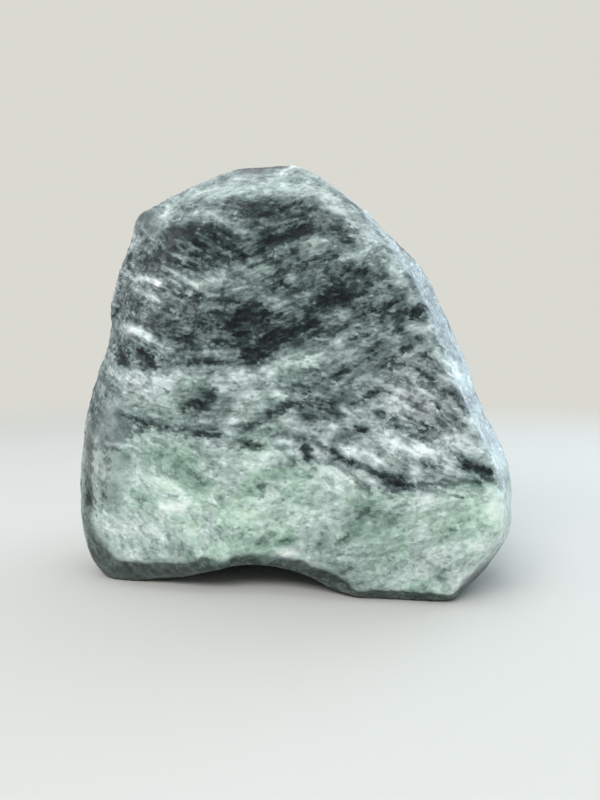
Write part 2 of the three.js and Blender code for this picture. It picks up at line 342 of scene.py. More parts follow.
def frames_at(p):
    return (band_frame(p, -27.0, -20.0, -0.10, 11),
            band_frame(p, 22.0, 30.0, 0.04, 12),
            band_frame(p, -5.0, 0.0, 0.0, 13))


def set_weights(p):
    q = np.stack([p[:, 0] + 5 * fbm(p / 24.0, 41, 2), p[:, 2] - 0.2 * (p[:, 1] + 50) + 4 * fbm(p / 24.0, 42, 2)], 1)
    w = []
    for pts, lift in ((FALLS, 1.0), (CLIMBS, 1.0), (FLAT, 1.0)):
        s = np.full(len(p), 1e-4)
        for x, z in pts:
            s += lift * np.exp(-((q[:, 0] - x) ** 2 + (q[:, 1] - z) ** 2) / (2 * 10.5 ** 2)) + 0.02 * lift / (1 + ((q[:, 0] - x) ** 2 + (q[:, 1] - z) ** 2) / 400.0)
        w.append(s)
    w = np.stack(w, 1) ** 2.2
    return w / w.sum(1, keepdims=True)


FR = frames_at(V0)
W = set_weights(V0)

# ------------------------------------------------------------------ lenses, veins and patches, listed one by one
# kind, strength, half width (mm), path over the face (mm); the damp kind is painted shade along the base, and the tone
# marks noted below paint highlights, reflections or shade where they are noted, the rest are the stone's own colour
MARKS = [
    ("tone", -0.20, 4.3, [(-20, -29, 171), (-8, -31, 167), (6, -30, 168)]),
    ("tone", -0.20, 1.9, [(-16.7, -30.9, 166.8), (-9.8, -30.7, 167.3)]),
    ("tone", -0.24, 3.8, [(-10, -34, 156), (0, -34, 157), (7, -33, 159)]),
    ("tone", -0.14, 3.3, [(3, -29, 170), (13, -31, 167)]),
    ("tone", -0.12, 4.3, [(12, -30, 169), (23, -33, 163), (33, -35, 156)]),
    ("tone", -0.20, 2.4, [(17.5, -30.6, 167.7), (28.3, -32.7, 162.0), (33.5, -34.8, 156.3)]),
    ("tone", -0.16, 3.3, [(-21, -35, 147), (-12, -35, 152), (-4, -34, 156)]),
    ("tone", -0.12, 5.8, [(-57, -25, 157), (-43, -29, 158), (-29, -32, 155)]),
    ("tone", -0.16, 2.5, [(-58.2, -22.6, 160.3), (-46.9, -27.6, 161.2)]),
    ("tone", -0.16, 2.4, [(-42.9, -30.1, 152.6), (-30.7, -32.9, 147.7)]),
    ("tone", -0.18, 2.3, [(-28.0, -32.4, 155.8), (-21.5, -34.8, 146.5)]),
    ("tone", -0.22, 2.5, [(-70.1, -17.7, 148.1), (-61.7, -24.8, 149.4), (-54.4, -27.8, 151.6)]),
    ("tone", -0.12, 1.9, [(-45.7, -31.1, 143.5), (-24.6, -35.1, 141.2)]),
    ("tone", -0.22, 4.1, [(14, -42, 127), (21, -41, 134), (28, -41, 140)]),
    ("tone", -0.14, 2.7, [(27.8, -40.6, 139.6), (42.0, -39.6, 145.8)]),
    ("tone", -0.20, 3.1, [(9, -42, 122), (21, -42, 128), (34, -43, 134)]),
    ("tone", -0.28, 4.5, [(-21, -43, 100), (-12, -43, 104), (-2, -42, 111), (7, -43, 116)]),
    ("tone", -0.16, 3.1, [(7, -43, 116), (19, -43, 121), (32, -43, 128)]),
    ("tone", -0.26, 3.6, [(-22, -38, 122), (-17, -38, 124), (-11, -39, 122)]),
    ("tone", -0.18, 3.2, [(-33, -39, 118), (-22, -39, 119), (-15, -40, 117)]),
    ("tone", -0.22, 3.1, [(-22, -41, 109), (-17, -43, 103), (-15, -43, 99)]),
    ("tone", -0.14, 1.8, [(-3.8, -38.1, 135.5), (-0.6, -39.2, 131.9)]),
    ("tone", -0.10, 5.1, [(-59, -35, 114), (-40, -38, 117), (-24, -40, 111)]),
    ("tone", -0.08, 5.5, [(-49, -39, 107), (-29, -41, 106)]),
    # the next two dark marks are painted shade in the two dents under the ledge on the left
    ("tone", -0.36, 2.5, [(-81.3, -25.7, 105.1), (-77.8, -30.1, 100.5)]),
    ("tone", -0.38, 2.4, [(-68.5, -34.9, 103.8), (-61.4, -38.4, 97.9)]),
    ("tone", -0.14, 1.4, [(-58.5, -38.7, 100.2), (-40.0, -41.5, 98.9), (-22.0, -42.5, 99.9)]),
    ("tone", -0.20, 1.8, [(36.2, -45.4, 121.8), (43.1, -45.8, 125.2), (49.1, -46.3, 127.3)]),
    ("tone", -0.24, 1.8, [(46.5, -47.3, 119.1), (53.3, -47.7, 122.1), (60.1, -43.9, 124.9)]),
    ("tone", -0.16, 1.8, [(11.8, -43.7, 113.1), (22.3, -44.4, 116.6), (39.7, -46.2, 119.6)]),
    ("tone", -0.26, 1.3, [(48.9, -49.5, 105.2), (53.6, -49.7, 107.0)]),
    ("tone", -0.26, 1.6, [(-88.9, -10.6, 120.8), (-82.4, -15.5, 125.9)]),
    ("tone", -0.20, 1.6, [(-81.2, -7.4, 147.6), (-78.6, -7.5, 152.4)]),
    ("tone", -0.12, 3.2, [(-73.9, -4.8, 171.4), (-65.4, -11.4, 169.1)]),
    ("tone", -0.10, 4.1, [(5, -37, 145), (18, -37, 148)]),
    ("tone", -0.12, 3.2, [(-41, -35, 128), (-22, -37, 129)]),
    ("tone", -0.12, 2.2, [(4.7, -44.0, 104.3), (17.9, -45.2, 107.4)]),
    ("tone", -0.12, 1.8, [(36.1, -47.1, 111.3), (48.1, -48.3, 113.0)]),
    ("tone", -0.12, 2.8, [(48.4, -45.3, 131.3), (61.7, -31.1, 136.2)]),
    ("tone", -0.10, 2.8, [(25.3, -36.8, 154.2), (38.5, -38.6, 148.6)]),
    ("tone", -0.28, 2.7, [(-47.1, -43.4, 79.8), (-41.2, -43.7, 81.6), (-34.0, -43.8, 84.8)]),
    ("tone", -0.12, 3.6, [(-42, -43, 84), (-29, -45, 79)]),
    ("tone", -0.20, 1.9, [(-79.3, -35.1, 75.7), (-71.0, -38.6, 73.8), (-60.6, -42.1, 70.6)]),
    ("tone", -0.26, 1.8, [(-58.2, -42.8, 70.2), (-46.4, -45.6, 69.3), (-29.8, -47.4, 68.2)]),
    ("tone", -0.20, 1.8, [(-23.5, -48.0, 65.6), (-12.0, -49.0, 63.5)]),
    ("tone", -0.26, 2.7, [(-20.9, -47.1, 69.9), (-13.8, -47.0, 73.5), (-6.7, -47.6, 76.2)]),
    ("tone", -0.26, 2.2, [(-8.5, -47.2, 77.1), (-3.6, -47.7, 79.8), (1.2, -47.9, 82.5)]),
    ("tone", -0.28, 2.6, [(4.7, -48.5, 81.6), (12.6, -49.0, 83.4), (20.8, -50.4, 81.8)]),
    ("tone", -0.24, 1.3, [(6.0, -47.5, 86.4), (10.0, -47.9, 86.9)]),
    ("tone", -0.20, 1.3, [(-1.9, -47.9, 79.8), (1.2, -48.0, 81.6)]),
    ("tone", -0.16, 1.8, [(-4.1, -44.8, 94.2), (7.4, -45.8, 95.5), (17.9, -47.8, 93.9)]),
    ("tone", -0.18, 2.6, [(19.5, -50.0, 82.7), (26.5, -49.7, 90.5), (35.2, -48.8, 101.8)]),
    ("tone", -0.22, 1.7, [(26.4, -51.3, 81.9), (33.3, -51.5, 84.5), (39.4, -51.4, 87.1)]),
    ("tone", -0.32, 1.7, [(29.3, -54.1, 71.4), (32.7, -54.5, 71.0)]),
    ("tone", -0.30, 2.2, [(5.6, -51.9, 66.2), (8.2, -54.1, 59.6)]),
    ("tone", -0.20, 1.7, [(-2.3, -49.7, 68.5), (4.7, -52.4, 63.7), (14.2, -54.4, 63.1)]),
    ("tone", -0.30, 1.7, [(13.4, -53.8, 64.8), (20.2, -56.0, 61.7), (26.0, -57.9, 57.7)]),
    ("tone", -0.30, 1.7, [(26.0, -57.9, 57.7), (35.3, -59.6, 53.7)]),
    ("tone", -0.34, 2.2, [(35.2, -59.8, 52.9), (45.3, -61.0, 50.6)]),
    ("tone", -0.24, 1.7, [(46.9, -61.5, 49.0), (57.6, -62.7, 48.0), (68.1, -64.2, 49.6)]),
    ("tone", -0.12, 1.7, [(67.3, -64.1, 49.2), (79.2, -66.0, 50.9)]),
    ("tone", -0.34, 3.1, [(72, -63, 60), (79, -65, 56), (85, -65, 52)]),
    ("tone", -0.20, 2.2, [(70.9, -62.0, 62.7), (77.2, -63.6, 60.5), (83.7, -64.5, 55.6)]),
    ("tone", -0.22, 1.7, [(37.5, -52.8, 78.6), (46.0, -54.2, 75.3)]),
    ("tone", -0.22, 2.2, [(67.7, -55.8, 86.6), (74.3, -57.2, 79.9)]),
    ("tone", -0.16, 2.2, [(56.4, -51.9, 95.8), (66.2, -55.0, 89.1)]),
    ("tone", -0.18, 2.2, [(42.6, -54.3, 73.5), (55.9, -56.8, 71.3), (64.0, -58.3, 73.2)]),
    ("tone", -0.14, 1.7, [(49.5, -52.8, 84.6), (57.7, -55.3, 80.6)]),
    ("tone", -0.14, 2.6, [(64.2, -57.1, 79.0), (73.6, -60.5, 71.8)]),
    ("tone", -0.12, 2.2, [(44.1, -56.5, 66.1), (55.8, -57.4, 68.8)]),
    ("tone", -0.14, 2.2, [(54.7, -59.8, 58.9), (67.5, -63.0, 55.3)]),
    ("tone", -0.10, 3.1, [(-27, -47, 69), (-17, -46, 81)]),
    ("tone", -0.10, 3.6, [(-22, -44, 89), (-12, -45, 92)]),
    ("tone", 0.30, 6.8, [(-59, -9, 176), (-44, -9, 183), (-28, -12, 187)]),
    ("tone", 0.26, 6.1, [(-28, -14, 186), (-9, -19, 185), (10, -22, 184)]),
    ("tone", 0.14, 4.0, [(-37, -22, 175), (-19, -23, 179), (5, -25, 179)]),
    ("tone", 0.22, 3.1, [(-64.5, -11.1, 170.1), (-54.5, -17.0, 169.8), (-44.2, -21.2, 172.5)]),
    ("tone", 0.20, 3.0, [(-48.9, -21.6, 168.8), (-34.7, -28.9, 166.3)]),
    ("tone", 0.20, 1.9, [(-37.7, -27.3, 168.5), (-29.0, -31.0, 162.3), (-21.5, -32.8, 158.4)]),
    ("tone", -0.16, 2.0, [(-30.2, -27.6, 171.1), (-26.8, -24.6, 176.3)]),
    ("tone", 0.24, 4.7, [(-43, -34, 132), (-29, -35, 137), (-12, -36, 141)]),
    ("tone", 0.10, 4.2, [(-36, -33, 142), (-18, -36, 145)]),
    # the next five light marks are painted highlights along the ledge edges of the upper left
    ("tone", 0.20, 1.3, [(-58.7, -28.1, 143.9), (-50.3, -31.3, 138.9), (-42.2, -33.4, 134.2)]),
    ("tone", 0.18, 1.2, [(-54.4, -28.2, 150.2), (-47.6, -30.2, 147.2), (-41.5, -31.5, 144.3)]),
    ("tone", 0.26, 1.8, [(-72.9, -18.6, 139.9), (-66.5, -25.4, 137.8), (-60.9, -29.2, 135.5)]),
    ("tone", 0.20, 1.5, [(-73.5, -20.5, 134.1), (-63.8, -29.3, 129.6), (-59.7, -31.4, 127.6)]),
    ("tone", 0.30, 2.1, [(-78.8, -23.5, 116.9), (-71.2, -30.6, 114.3), (-64.3, -34.6, 111.1)]),
    ("tone", 0.16, 1.9, [(-63.8, -34.9, 110.6), (-53.0, -38.5, 107.0)]),
    ("tone", 0.12, 4.8, [(-65, -28, 131), (-52, -34, 125)]),
    ("tone", 0.22, 5.0, [(-8, -40, 125), (-4, -41, 121)]),
    ("tone", 0.22, 3.7, [(8, -35, 152), (15, -35, 156)]),
    ("tone", 0.14, 4.6, [(39, -38, 150), (47, -42, 139)]),
    ("tone", 0.20, 4.1, [(47, -39, 144), (52, -45, 130)]),
    ("tone", 0.16, 2.7, [(31.1, -43.5, 127.1), (44.9, -44.7, 132.2)]),
    ("tone", 0.10, 3.5, [(31, -46, 114), (22, -45, 111)]),
    ("tone", 0.16, 2.7, [(51.6, -48.4, 115.6), (63.2, -46.8, 113.9)]),
    ("tone", 0.14, 1.3, [(4.7, -41.9, 120.2), (18.0, -42.5, 124.6)]),
    ("tone", 0.10, 3.7, [(1, -37, 143), (7, -39, 134)]),
    ("tone", 0.12, 2.3, [(-44.6, -40.5, 103.4), (-37.3, -41.0, 103.4)]),
    ("tone", 0.10, 2.3, [(-40.2, -39.4, 110.5), (-25.7, -39.9, 112.3)]),
    ("tone", 0.18, 3.8, [(-82, -29, 95), (-63, -39, 93), (-42, -42, 91)]),
    ("tone", 0.12, 5.6, [(-73, -36, 86), (-56, -42, 85)]),
    ("tone", 0.20, 1.8, [(-50.0, -41.1, 96.2), (-40.0, -42.6, 90.9)]),
    ("tone", 0.16, 3.5, [(-9, -44, 97), (0, -44, 101), (18, -46, 103)]),
    ("tone", 0.14, 4.5, [(-30, -43, 89), (-19, -45, 84)]),
    ("tone", 0.14, 2.7, [(-25.4, -46.3, 74.3), (-28.0, -48.0, 65.6)]),
    ("tone", 0.08, 7.0, [(41, -51, 87), (60, -56, 80)]),
    ("tone", 0.16, 2.2, [(44.6, -50.5, 95.7), (53.0, -52.4, 90.7)]),
    ("tone", 0.30, 3.9, [(42, -56, 67), (52, -58, 65), (61, -60, 62)]),
    ("tone", 0.26, 2.6, [(22.7, -55.8, 63.4), (32.0, -57.6, 60.2)]),
    ("tone", 0.16, 2.2, [(37.0, -58.6, 57.8), (50.4, -60.3, 54.7)]),
    ("tone", 0.06, 2.2, [(24.6, -53.0, 73.4), (27.9, -55.3, 66.8)]),
    ("tone", 0.14, 2.6, [(65.5, -59.7, 68.3), (72.6, -61.8, 65.2)]),
    ("tone", 0.16, 2.2, [(63.4, -62.6, 53.5), (70.0, -62.7, 58.6)]),
    ("tone", -0.20, 2.3, [(-49.4, -47.6, 55.7), (-41.2, -49.7, 49.8), (-36.6, -51.1, 43.9)]),
    ("tone", -0.12, 3.7, [(-58, -45, 60), (-50, -47, 57)]),
    ("tone", -0.14, 4.0, [(-41, -48, 63), (-32, -50, 53)]),
    ("tone", 0.24, 2.3, [(-58.6, -47.0, 48.4), (-50.1, -49.6, 44.4), (-40.9, -52.2, 36.1)]),
    ("tone", 0.26, 2.7, [(-56.4, -49.7, 37.2), (-47.2, -51.4, 36.8)]),
    ("tone", -0.16, 2.3, [(-70.0, -45.1, 40.6), (-61.1, -48.6, 36.0)]),
    ("tone", 0.16, 4.8, [(-84, -43, 28), (-73, -47, 24)]),
    ("tone", 0.14, 3.3, [(-75, -45, 32), (-67, -44, 50)]),
    ("tone", -0.16, 2.7, [(-17.1, -52.7, 44.3), (-8.3, -53.2, 48.0)]),
    ("tone", -0.12, 1.8, [(-28.5, -52.8, 38.5), (-21.5, -52.8, 41.6)]),
    ("tone", 0.16, 3.5, [(-16, -51, 55), (-8, -51, 59)]),
    ("tone", 0.14, 4.3, [(7, -55, 55), (18, -58, 53)]),
    ("tone", 0.14, 3.0, [(1, -55, 49), (12, -58, 46)]),
    ("tone", -0.20, 4.3, [(28, -63, 33), (35, -62, 40), (43, -62, 45)]),
    ("tone", -0.12, 3.5, [(43, -62, 42), (48, -62, 45)]),
    ("tone", -0.12, 2.6, [(17.4, -63.3, 21.9), (26.6, -63.6, 28.9)]),
    ("tone", -0.10, 2.2, [(35.7, -66.3, 14.4), (45.8, -66.0, 19.4)]),
    ("tone", -0.14, 2.2, [(63.0, -66.8, 26.5), (71.8, -67.5, 34.4), (81.3, -68.1, 40.5)]),
    ("tone", -0.10, 1.7, [(58.2, -64.8, 36.2), (75.1, -66.6, 43.4)]),
    ("tone", 0.14, 3.0, [(59, -64, 43), (75, -66, 46)]),
    ("tone", 0.16, 2.7, [(81.4, -67.6, 43.7), (89.2, -65.2, 32.8)]),
    ("tone", 0.12, 4.3, [(47, -64, 34), (57, -64, 39)]),
    ("tone", -0.08, 7.0, [(55, -66, 21), (65, -69, 16)]),
    ("tone", 0.12, 3.5, [(75, -69, 24), (81, -70, 27)]),
    ("tone", 0.12, 4.0, [(-32, -54, 31), (-12, -55, 36)]),
    ("tone", 0.20, 2.7, [(-4.7, -58.8, 18.6), (5.6, -60.9, 17.6)]),
    ("tone", -0.12, 2.7, [(-18.7, -56.3, 23.1), (1.3, -59.1, 24.9)]),
    ("tone", -0.10, 2.8, [(-61.8, -51.1, 19.5), (-45.1, -54.9, 19.0)]),
    ("tone", 0.10, 3.6, [(18, -61, 5), (35, -66, 4)]),
    ("green", 0.40, 5.4, [(-41, -48, 60), (-46, -49, 51), (-37, -51, 45)]),
    ("green", 0.60, 4.1, [(-63, -43, 59), (-50, -47, 60)]),
    ("green", 0.60, 3.7, [(-68, -46, 40), (-60, -49, 36)]),
    ("green", 0.70, 4.0, [(-19, -53, 43), (-8, -53, 48)]),
    ("green", 0.40, 5.6, [(27, -63, 32), (36, -62, 40), (44, -62, 45)]),
    ("green", 0.40, 3.5, [(62, -67, 26), (73, -68, 35), (81, -68, 40)]),
    ("green", 0.60, 4.9, [(-31, -56, 21), (-15, -57, 23), (0, -59, 26)]),
    ("green", 0.30, 3.5, [(17, -64, 19), (28, -64, 30)]),
    ("green", 0.60, 3.5, [(35, -66, 14), (47, -66, 20)]),
    ("green", 0.60, 2.6, [(67.3, -64.2, 48.8), (80.0, -66.3, 50.1)]),
    ("green", 0.50, 4.0, [(-4, -45, 94), (18, -48, 95)]),
    ("green", 0.50, 3.1, [(20, -50, 83), (35, -49, 102)]),
    ("green", 0.50, 3.5, [(-24, -48, 65), (-11, -49, 63)]),
    ("green", 0.40, 5.6, [(-43, -34, 133), (-12, -36, 141)]),
    ("green", 0.40, 6.2, [(-9, -43, 105), (18, -46, 105)]),
    ("green", 0.40, 4.1, [(-8, -40, 125), (-4, -41, 121)]),
    ("green", 0.30, 9.1, [(0, -39, 132), (23, -38, 150)]),
    ("purple", 0.80, 9.6, [(46, -52, 87), (64, -58, 76)]),
    ("purple", 0.60, 7.0, [(52, -50, 101), (69, -55, 88)]),
    ("purple", 0.70, 6.7, [(-65, -25, 140), (-48, -35, 125)]),
    ("purple", 0.60, 4.2, [(-74, -5, 171), (-65, -13, 167)]),
    ("purple", 0.50, 7.6, [(14, -31, 166), (33, -32, 160)]),
    ("purple", 0.70, 4.9, [(-85, -32, 77), (-82, -37, 59), (-84, -40, 41)]),
    ("purple", 0.60, 4.8, [(-82, -2, 155), (-86, -13, 125)]),
    ("purple", 0.50, 4.0, [(-94, -28, 62), (-94, -36, 31)]),
    ("purple", 0.50, 7.1, [(55, -67, 18), (65, -69, 14)]),
    ("purple", 0.50, 3.5, [(-2, -59, 18), (12, -62, 16)]),
    ("purple", 0.30, 3.6, [(44, -46, 127), (53, -49, 116)]),
    ("purple", 0.40, 4.3, [(5, -53, 61), (18, -55, 64)]),
    ("tone", -0.10, 6.3, [(-82, -34, 74), (-82, -37, 59), (-83, -40, 43)]),
    ("talc", -1.50, 8.3, [(-82, -35, 68), (-85, -38, 50), (-88, -40, 34)]),
    ("tone", 0.20, 1.0, [(-85.3, -34.7, 62.1), (-70.8, -40.5, 61.2)]),
    ("calm", 0.90, 7.3, [(-82, -34, 75), (-82, -38, 57), (-83, -41, 40)]),
    ("calm", 0.50, 5.3, [(-71, -7, 171), (-67, -13, 165)]),
    ("calm", 0.40, 6.9, [(22, -62, 34), (47, -65, 26)]),
    ("tone", -0.10, 4.5, [(-94, -23, 79), (-94, -28, 62), (-95, -32, 44)]),
    # painted reflection of the sky: this light band runs down the right shoulder
    ("tone", 0.30, 5.7, [(17, -23, 179), (25, -29, 169), (33, -34, 158), (39, -40, 147)]),
    ("tone", 0.18, 3.2, [(7, -36, 149), (20, -38, 145)]),
    ("tone", 0.16, 2.3, [(-22.2, -37.7, 127.6), (-17.7, -38.0, 128.4)]),
    ("tone", 0.10, 2.8, [(-37.7, -36.5, 125.0), (-33.9, -39.1, 115.0)]),
    ("tone", 0.14, 2.2, [(14.4, -43.1, 119.3), (25.0, -43.4, 123.6)]),
    ("tone", 0.12, 2.2, [(34.6, -44.0, 127.5), (41.5, -45.0, 128.3)]),
    ("tone", 0.22, 2.2, [(52.4, -48.4, 116.5), (58.4, -49.3, 112.1), (64.5, -49.6, 105.2)]),
    ("tone", 0.20, 4.0, [(-27, -42, 100), (-19, -44, 93), (-14, -46, 84)]),
    ("tone", 0.12, 2.7, [(-17.4, -46.3, 77.0), (-12.1, -47.3, 72.6)]),
    ("tone", 0.16, 2.6, [(35.1, -61.4, 45.5), (45.2, -62.2, 44.9)]),
    ("tone", 0.18, 2.2, [(33.0, -55.7, 66.8), (36.2, -58.5, 57.8)]),
    ("tone", 0.14, 2.2, [(42.7, -53.4, 76.9), (47.7, -54.2, 76.1)]),
    ("tone", 0.24, 2.6, [(76.1, -60.9, 70.2), (81.1, -61.2, 65.1)]),
    # painted light on the right foot's edge, where light from the right falls on it
    ("tone", 0.26, 3.1, [(85, -67, 46), (89, -66, 38), (91, -61, 29)]),
    ("tone", 0.14, 2.6, [(-66.2, -12.3, 167.0), (-59.2, -17.5, 165.9)]),
    ("tone", 0.10, 2.8, [(-62.2, -39.6, 89.0), (-55.5, -41.2, 89.1)]),
    ("tone", 0.16, 2.7, [(-85.9, -3.1, 151.1), (-82.4, -8.9, 141.5)]),
    ("tone", -0.16, 2.6, [(-60.6, -10.6, 173.0), (-46.3, -20.1, 172.3)]),
    ("tone", -0.20, 3.1, [(-31.7, -6.3, 190.3), (-22.5, -10.3, 190.2)]),
    ("tone", 0.16, 3.6, [(-49, -11, 180), (-36, -18, 180), (-18, -24, 178)]),
    ("tone", 0.20, 3.4, [(-2, -23, 182), (8, -26, 178)]),
    ("tone", -0.16, 2.3, [(10.1, -33.8, 158.2), (16.4, -34.6, 157.6)]),
    ("tone", -0.12, 3.0, [(-70.8, -14.7, 153.2), (-59.5, -26.3, 148.7)]),
    ("tone", -0.24, 4.4, [(28, -46, 110), (36, -48, 107), (42, -50, 100)]),
    ("tone", -0.14, 2.7, [(-1.5, -43.2, 105.2), (9.1, -44.1, 107.4), (17.9, -45.6, 105.2)]),
    ("tone", -0.16, 2.6, [(-3.2, -45.6, 90.2), (15.2, -48.1, 89.5)]),
    ("tone", -0.28, 3.1, [(5, -50, 76), (20, -51, 77)]),
    ("tone", -0.28, 2.6, [(19.4, -54.0, 67.4), (26.2, -55.1, 66.7)]),
    ("tone", -0.20, 2.9, [(-80.8, -27.7, 99.9), (-71.5, -34.7, 97.8), (-63.3, -38.2, 96.1)]),
    ("tone", -0.18, 2.7, [(-47.2, -41.8, 93.1), (-40.0, -42.4, 92.3)]),
    ("tone", -0.14, 3.0, [(3, -54, 57), (16, -57, 56)]),
    ("tone", -0.12, 6.9, [(-94, -29, 60), (-81, -39, 50), (-84, -42, 35)]),
    ("tone", -0.08, 6.1, [(26, -64, 28), (45, -65, 26)]),
    ("tone", -0.12, 2.6, [(7.3, -60.1, 27.8), (12.4, -62.0, 23.2)]),
    # painted shade along the base under the arch's lip
    ("damp_shade", 0.50, 2.7, [(-23.1, -57.1, 14.0), (-11.7, -57.9, 15.2), (4.7, -60.5, 13.9)]),
    ("tone", -0.12, 2.9, [(-56.0, -24.3, 160.0), (-46.0, -27.9, 161.1), (-36.4, -30.8, 156.1)]),
    ("tone", -0.10, 3.5, [(-67, -19, 153), (-58, -28, 146)]),
    ("tone", -0.10, 2.8, [(-42.9, -31.1, 145.3), (-38.2, -32.1, 143.3)]),
    ("tone", 0.24, 3.8, [(28, -31, 164), (34, -33, 158), (30, -39, 148)]),
    ("tone", 0.12, 3.2, [(13, -36, 150), (25, -39, 147)]),
    ("tone", -0.18, 2.8, [(37.6, -38.8, 148.6), (42.8, -40.6, 144.0)]),
    ("tone", -0.16, 2.2, [(49.9, -48.0, 117.3), (54.1, -48.2, 119.0)]),
    ("tone", 0.24, 2.7, [(63.5, -50.3, 104.4), (68.6, -51.2, 96.6)]),
    ("tone", 0.18, 2.2, [(-9.4, -45.6, 87.6), (-3.2, -46.9, 84.1)]),
    ("tone", 0.14, 2.2, [(-5.8, -47.7, 77.1), (3.0, -49.6, 74.7)]),
    ("tone", 0.14, 2.2, [(4.7, -53.0, 61.1), (9.9, -53.8, 62.2)]),
    ("tone", -0.16, 3.1, [(-8, -51, 58), (5, -54, 57)]),
    ("tone", -0.10, 3.8, [(-78, -37, 69), (-66, -41, 70)]),
    ("tone", -0.10, 3.4, [(-85, -36, 58), (-77, -40, 54)]),
    ("tone", -0.10, 3.6, [(-53, -47, 53), (-45, -50, 46)]),
    ("tone", -0.08, 3.6, [(-28, -53, 40), (-22, -52, 44)]),
    ("tone", -0.16, 3.1, [(-12, -57, 22), (3, -60, 21)]),
    ("tone", -0.12, 3.5, [(32, -63, 34), (45, -64, 37)]),
    ("tone", -0.08, 5.2, [(17, -63, 21), (40, -66, 21)]),
    ("tone", 0.14, 3.2, [(-91.1, -3.2, 144.1), (-88.5, -6.2, 131.9)]),
    ("tone", 0.14, 3.0, [(68, -62, 59), (75, -62, 65)]),
    ("tone", 0.14, 2.6, [(53.1, -58.4, 63.0), (54.5, -61.1, 53.2)]),
    ("tone", 0.12, 2.6, [(35.2, -60.0, 52.1), (43.6, -61.3, 48.9)]),
    ("tone", -0.14, 2.2, [(27.1, -54.2, 70.1), (31.3, -56.3, 64.3)]),
    ("tone", -0.14, 3.2, [(-27.0, -3.8, 194.9), (-13.9, -7.5, 194.8)]),
    ("green", 0.60, 7.0, [(-19, -21, 182), (0, -22, 183)]),
    ("green", 0.40, 6.0, [(-49, -13, 177), (-23, -25, 176)]),
    ("green", 0.50, 10.2, [(-72, -37, 81), (-49, -43, 79)]),
    ("green", 0.50, 6.3, [(-44, -42, 90), (-37, -43, 88)]),
    ("green", 0.60, 7.1, [(-16, -48, 66), (-2, -48, 76)]),
    ("green", 0.50, 4.1, [(-56, -49, 44), (-41, -51, 42)]),
    ("green", 0.60, 4.5, [(-42, -53, 33), (-19, -55, 32)]),
    ("green", 0.40, 3.9, [(77, -66, 50), (86, -65, 51)]),
    ("green", -0.50, 6.5, [(-83, -36, 60), (-63, -43, 62), (-31, -49, 59)]),
    ("green", -0.50, 8.5, [(-85, -42, 31), (-67, -49, 21), (-50, -54, 17)]),
    ("green", -0.40, 6.2, [(6, -61, 23), (26, -65, 17), (46, -68, 8)]),
    ("tone", 0.14, 2.9, [(-60.0, -29.0, 138.3), (-50.2, -31.9, 136.2)]),
    ("tone", -0.12, 2.5, [(-79.0, -18.6, 126.2), (-73.9, -27.3, 118.2)]),
    ("tone", -0.10, 2.3, [(-50.0, -33.6, 127.9), (-42.5, -34.8, 128.7)]),
    ("tone", -0.14, 2.3, [(-14.9, -40.6, 112.3), (-9.6, -40.7, 115.0)]),
    ("tone", -0.14, 2.2, [(35.4, -44.4, 126.2), (41.5, -44.9, 128.7)]),
    ("tone", 0.14, 2.2, [(14.4, -43.2, 118.4), (25.0, -43.9, 121.0)]),
    ("tone", 0.12, 1.8, [(35.4, -45.7, 119.2), (41.4, -46.1, 121.7)]),
    ("tone", 0.12, 2.6, [(24.0, -46.6, 105.2), (28.3, -47.1, 106.1)]),
    ("tone", 0.14, 3.2, [(-59, -38, 102), (-47, -40, 103)]),
    ("tone", 0.12, 3.2, [(-37, -41, 105), (-31, -41, 103)]),
    ("tone", -0.16, 2.2, [(20.5, -48.1, 94.8), (24.8, -48.5, 96.5)]),
    ("tone", 0.14, 2.2, [(-7.6, -45.9, 86.7), (-2.3, -46.7, 85.9)]),
    ("tone", -0.14, 2.3, [(-43.4, -44.2, 77.6), (-36.2, -44.6, 79.5)]),
    ("tone", 0.16, 2.6, [(11.7, -48.9, 83.4), (21.3, -50.4, 82.2)]),
    ("tone", 0.16, 2.2, [(-3.2, -50.2, 65.1), (7.3, -52.2, 66.3)]),
    ("tone", 0.14, 2.2, [(16.0, -53.4, 67.3), (18.6, -52.8, 70.7)]),
    ("tone", 0.14, 2.6, [(30.2, -59.6, 52.0), (36.8, -61.1, 48.0)]),
    ("tone", -0.14, 2.6, [(39.5, -59.4, 55.4), (47.9, -60.3, 53.9)]),
    ("tone", -0.10, 4.8, [(-82, -36, 64), (-75, -41, 51), (-78, -44, 36)]),
    ("tone", -0.12, 3.5, [(-7, -52, 56), (8, -55, 54)]),
    ("tone", -0.10, 3.5, [(12, -61, 31), (14, -63, 22)]),
    ("tone", -0.12, 3.0, [(45, -64, 35), (49, -64, 38)]),
    ("tone", -0.12, 2.8, [(-61.6, -52.1, 14.4), (-43.2, -55.8, 15.8)]),
    ("tone", -0.14, 2.3, [(60.9, -39.6, 129.2), (66.2, -41.1, 117.6), (70.4, -39.0, 110.5)]),
    ("tone", -0.14, 2.5, [(89.3, -26.0, 84.3), (94.9, -27.6, 70.1)]),
    ("tone", 0.20, 1.8, [(72.7, -43.4, 99.9), (76.1, -44.5, 91.9)]),
    ("tone", 0.16, 2.2, [(74.4, -56.8, 80.7), (77.3, -59.3, 73.3)]),
    # painted light on the right foot's edge, where light from the right falls on it
    ("tone", 0.20, 3.6, [(83, -66, 50), (88, -66, 41), (90, -63, 30)]),
    # painted light on the right heel facet: a reflection of the bright surroundings
    ("tone", 0.20, 2.7, [(67.7, -69.8, 6.3), (77.3, -67.5, 13.9), (86.0, -63.0, 20.9)]),
    ("tone", 0.12, 3.9, [(14, -26, 176), (21, -28, 171), (27, -32, 163)]),
    ("tone", -0.16, 3.6, [(-102, -22, 47), (-97, -32, 34), (-93, -37, 26)]),
    ("tone", 0.12, 3.1, [(-100.8, -16.6, 68.7), (-99.5, -21.1, 61.4)]),
